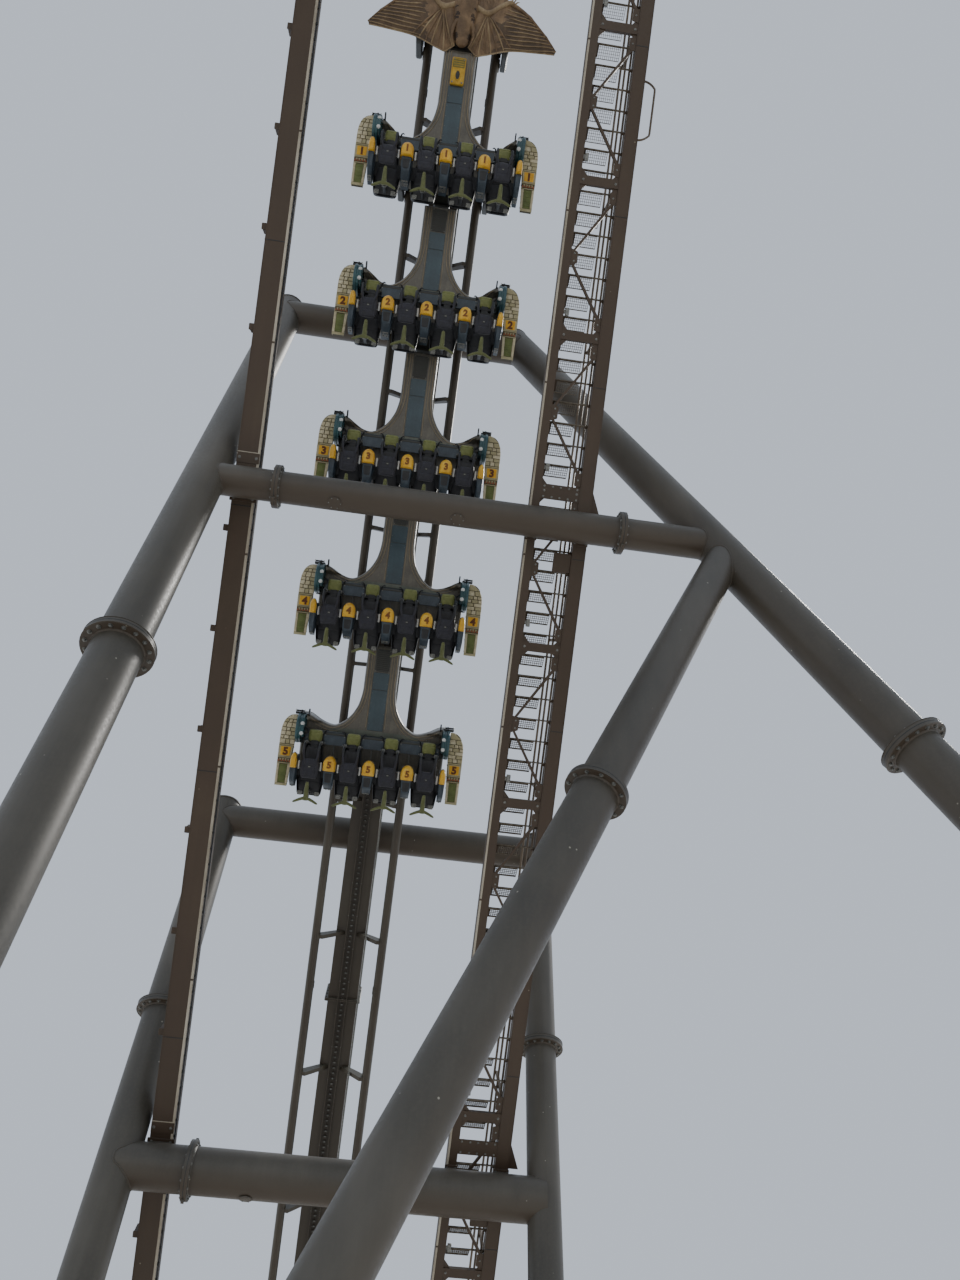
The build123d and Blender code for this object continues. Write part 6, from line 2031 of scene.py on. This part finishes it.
for a in PEGS:
    if min(abs(a - c) for c in CROSS) <= 0.7:
        continue
    for n in (-3.30, -3.20):
        b.bolt(TRACK @ Vector((a, -2.540, n + 0.02)), TRACK.to_3x3() @ Vector((0, -1, 0)), 0.012, 0.010, 3)
    b.prism(rounded([(a - 0.05, -2.55), (a + 0.05, -2.55), (a + 0.05, -2.468), (a - 0.05, -2.468)], 0.012, 2), -3.345, -3.333, 0, TRACK, chamfer=0.002)
for a in (-15.0, -11.0, -7.0, -3.0, 1.0, 5.0, 9.0, 12.5):
    b.box(a - 0.006, a + 0.006, -2.474, -2.126, -3.3945, -3.3925, 2, TRACK)
make("service_beam_fittings", b, ["walkway", "strip", "black", "galv"], "structure", IDENT, slot="walkway_paint", angle=35)

# ------------------------------------------------------------ stair
b = Build()
TREAD_A = []
a = 13.95
while tp(a, 0, -3.242).z > 0.12:
    TREAD_A.append(a)
    a -= 0.327
for a in TREAD_A:
    c = tp(a, 2.32, -3.242)
    y0, y1 = c.y - 0.1895, c.y + 0.1895
    z0, z1 = c.z + 0.0005, c.z + 0.0275
    b.box(c.x - 0.1070, c.x - 0.0990, y0, y1, z0, z1, 0)
    b.box(c.x + 0.0780, c.x + 0.0830, y0, y1, z0, z1, 0)
    # nosing bar, carried on to the outer stringer, with a folded lip
    b.box(c.x + 0.0785, c.x + 0.1070, y0, y0 + 0.5885, z1 - 0.005, z1, 0)
    b.box(c.x + 0.1020, c.x + 0.1070, y0, y0 + 0.5885, z0, z1, 0)
    b.box(c.x + 0.0785, c.x + 0.1070, y0 + 0.5825, y0 + 0.5885, z0, z1, 0)
    for y in (y0 + 0.0022, y1 - 0.0022):
        b.box(c.x - 0.1070, c.x + 0.0830, y - 0.0022, y + 0.0022, z0, z1, 0)
    for k in range(11):
        y = y0 + 0.0315 * (k + 1)
        b.box(c.x - 0.0990, c.x + 0.0780, y - 0.0017, y + 0.0017, z0 + 0.001, z1, 0)
    for x in (-0.060, -0.020, 0.020, 0.058):
        b.box(c.x + x - 0.0022, c.x + x + 0.0022, y0 + 0.004, y1 - 0.004, z1 - 0.010, z1 - 0.0005, 0)
make("stair_grating", b, ["grating"], "structure", IDENT, replaces=("stair_treads",), slot="tread_steel", angle=35)

b = Build()
FRAMES = [13.845 - 2.4 * j for j in range(15)]
POSTS = [a + 0.16 for a in FRAMES]
YR = 2.702
YP = 2.745
for a in POSTS:
    b.prism(rounded([(a - 0.0245, YP - 0.0245), (a + 0.0245, YP - 0.0245), (a + 0.0245, YP + 0.0245), (a - 0.0245, YP + 0.0245)], 0.006, 2), -3.190, -2.146, 0, TRACK)
    b.prism(rounded([(a - 0.060, YP - 0.0245), (a + 0.060, YP - 0.0245), (a + 0.060, YP + 0.0245), (a - 0.060, YP + 0.0245)], 0.008, 2), -3.1895, -3.180, 0, TRACK)
    for da in (-0.044, 0.044):
        b.bolt(TRACK @ Vector((a + da, YP, -3.180)), TRACK.to_3x3() @ Vector((0, 0, 1)), 0.010, 0.009, 1)
    for n in (-3.160, -2.665, -2.170):
        b.box(a - 0.020, a + 0.020, YR - 0.012, YP - 0.023, n - 0.012, n + 0.012, 0, TRACK)
        for da in (-0.034, 0.034):
            b.bolt(TRACK @ Vector((a + da * 0.4, YR - 0.0175, n)), (0, -1, 0), 0.006, 0.0012, 1)
lo, hi = POSTS[-1] - 0.155, POSTS[0] + 0.155
for n, r in ((-3.160, 0.0180), (-2.665, 0.0180), (-2.170, 0.0188)):
    b.tube([TRACK @ Vector((lo, YR, n)), TRACK @ Vector((hi, YR, n))], r, 14, 0)
for e, d in ((lo, -1), (hi, 1)):
    for n0, n1 in ((-3.160, -2.665), (-2.665, -2.170)):
        path = []
        for k in range(9):
            t = math.pi * k / 8
            path.append(TRACK @ Vector((e - d * 0.01 + d * 0.012 * math.sin(t), YR, (n0 + n1) / 2 - (n1 - n0) / 2 * math.cos(t))))
        b.tube(path, 0.0165, 10, 0)
make("stair_handrail_tubes", b, ["handrail", "galv"], "structure", IDENT, replaces=("stair_handrail",), slot="handrail_paint", angle=35)

b = Build()
for a in FRAMES:
    if tp(a - 0.3, 2.0, -3.5).z < 0.25:
        continue
    # gussets at both ends of each cross frame, and the small bracket uphill of it
    for y0, y1 in ((2.130, 2.235), (2.720, 2.615)):
        for d in (-1, 1):
            b.prism([(a + d * 0.070, y0), (a + d * 0.070, y1), (a + d * 0.190, y0)][::(1 if (d > 0) == (y1 < y0) else -1)], -3.372, -3.362, 0, TRACK)
        b.bolt(TRACK @ Vector((a, (y0 * 0.6 + y1 * 0.4), -3.387)), TRACK.to_3x3() @ Vector((0, 0, -1)), 0.014, 0.012, 2)
    if a + 0.42 < 14.15:
        b.prism(rounded([(a + 0.30, 2.155), (a + 0.42, 2.155), (a + 0.42, 2.215), (a + 0.30, 2.215)], 0.01, 2), -3.372, -3.330, 2, TRACK, chamfer=0.003)
        b.box(a + 0.33, a + 0.39, 2.128, 2.160, -3.362, -3.345, 2, TRACK)
    # apex plate of the bracing at the inner stringer and end plates at the outer one
    if a != FRAMES[-1]:
        m = a - 1.2
        b.prism(rounded([(m - 0.13, 2.130), (m + 0.13, 2.130), (m + 0.09, 2.235), (m - 0.09, 2.235)], 0.012, 2), -3.3815, -3.3735, 0, TRACK, chamfer=0.002)
        for d in (-0.06, 0.06):
            b.bolt(TRACK @ Vector((m + d, 2.185, -3.3815)), TRACK.to_3x3() @ Vector((0, 0, -1)), 0.011, 0.009, 2)
        for s in (-1, 1):
            e = m + s * 0.98
            b.prism(rounded([(e - 0.09, 2.618), (e + 0.09, 2.618), (e + 0.11, 2.720), (e - 0.11, 2.720)], 0.012, 2), -3.3815, -3.3735, 0, TRACK, chamfer=0.002)
            b.bolt(TRACK @ Vector((e, 2.67, -3.3815)), TRACK.to_3x3() @ Vector((0, 0, -1)), 0.011, 0.009, 2)
# pale edge strip under the inner stringer and flange lips of the outer one
for a0 in [(-23.0 + 2.65 * j) for j in range(14)]:
    a1 = min(a0 + 2.62, 14.15)
    if tp(a0, 0, -3.40).z < 0.02:
        a0 = a0 + (0.03 - tp(a0, 0, -3.40).z) / SA
        if a0 > a1 - 0.1:
            continue
    b.prism([(a0, 1.977), (a1, 1.977), (a1, 2.006), (a0, 2.006)], -3.3955, -3.391, 1, TRACK)
    b.prism([(a0, 2.722), (a1, 2.722), (a1, 2.734), (a0, 2.734)], -3.3965, -3.391, 0, TRACK)
    b.prism([(a0, 2.916), (a1, 2.916), (a1, 2.928), (a0, 2.928)], -3.3965, -3.391, 0, TRACK)
    b.box(a0, a0 + 0.010, 2.724, 2.926, -3.3945, -3.3915, 3, TRACK)
# tread cleats on both stringers
for a in TREAD_A:
    c = tp(a, 2.39, -3.242)
    b.box(c.x - 0.085, c.x + 0.085, c.y - 0.2595, c.y - 0.2195, c.z - 0.006, c.z - 0.0005, 0)
    b.box(c.x + 0.070, c.x + 0.110, c.y + 0.2900, c.y + 0.3295, c.z - 0.006, c.z - 0.0005, 0)
# hoop pipe outside the outer stringer
for a0, a1 in ((7.42, 8.34),):
    path = []
    for k in range(25):
        t = math.pi * k / 24
        path.append(TRACK @ Vector(((a0 + a1) / 2 - (a1 - a0) / 2 * math.cos(t), 2.930 + 0.185 * min(1.0, math.sin(t) * 1.6), -3.290)))
    b.tube(path, 0.017, 12, 4)
    for a in (a0, a1):
        b.lathe([(0.045, -0.006), (0.045, 0.006), (0.017, 0.010)], TRACK @ Vector((a, 2.934, -3.290)), (0, 1, 0), 16, 2)
for bt in BENT:
    ca = (bt["x"] - X0) / CA - (Z0 + (bt["x"] - X0) * TA - bt["low"]) * SA
    for s in (-1, 1):
        for y0, y1 in ((1.960, 2.145), (2.705, 2.940)):
            b.prism(rounded([(ca + s * 0.20 - 0.045, y0), (ca + s * 0.20 + 0.045, y0), (ca + s * 0.20 + 0.045, y1), (ca + s * 0.20 - 0.045, y1)], 0.01, 2), -3.412, -3.3935, 0, TRACK, chamfer=0.003)
            for y in (y0 + 0.03, y1 - 0.03):
                b.bolt(TRACK @ Vector((ca + s * 0.20, y, -3.412)), TRACK.to_3x3() @ Vector((0, 0, -1)), 0.015, 0.013, 2)
    # wide cross plate uphill of the beam, closed box downhill of it, wedge plates beside the outer stringer
    b.prism(rounded([(ca + 0.41, 2.128), (ca + 0.64, 2.128), (ca + 0.64, 2.722), (ca + 0.41, 2.722)], 0.012, 2), -3.3895, -3.378, 0, TRACK, chamfer=0.002)
    for q in (0.445, 0.605):
        for y in (2.17, 2.30, 2.42, 2.55, 2.68):
            b.bolt(TRACK @ Vector((ca + q, y, -3.3895)), TRACK.to_3x3() @ Vector((0, 0, -1)), 0.012, 0.010, 2)
    b.prism(rounded([(ca - 0.68, 2.45), (ca - 0.38, 2.45), (ca - 0.38, 2.721), (ca - 0.68, 2.721)], 0.02, 3), -3.372, -3.318, 0, TRACK, chamfer=0.006)
    b.prism([(ca + 0.235, 2.928), (ca + 0.235, 3.085), (ca + 0.62, 2.928)][::-1], -3.345, -3.325, 0, TRACK)
make("stair_fittings", b, ["walkway", "strip", "galv", "black", "handrail"], "structure", IDENT, slot="walkway_paint", angle=35)
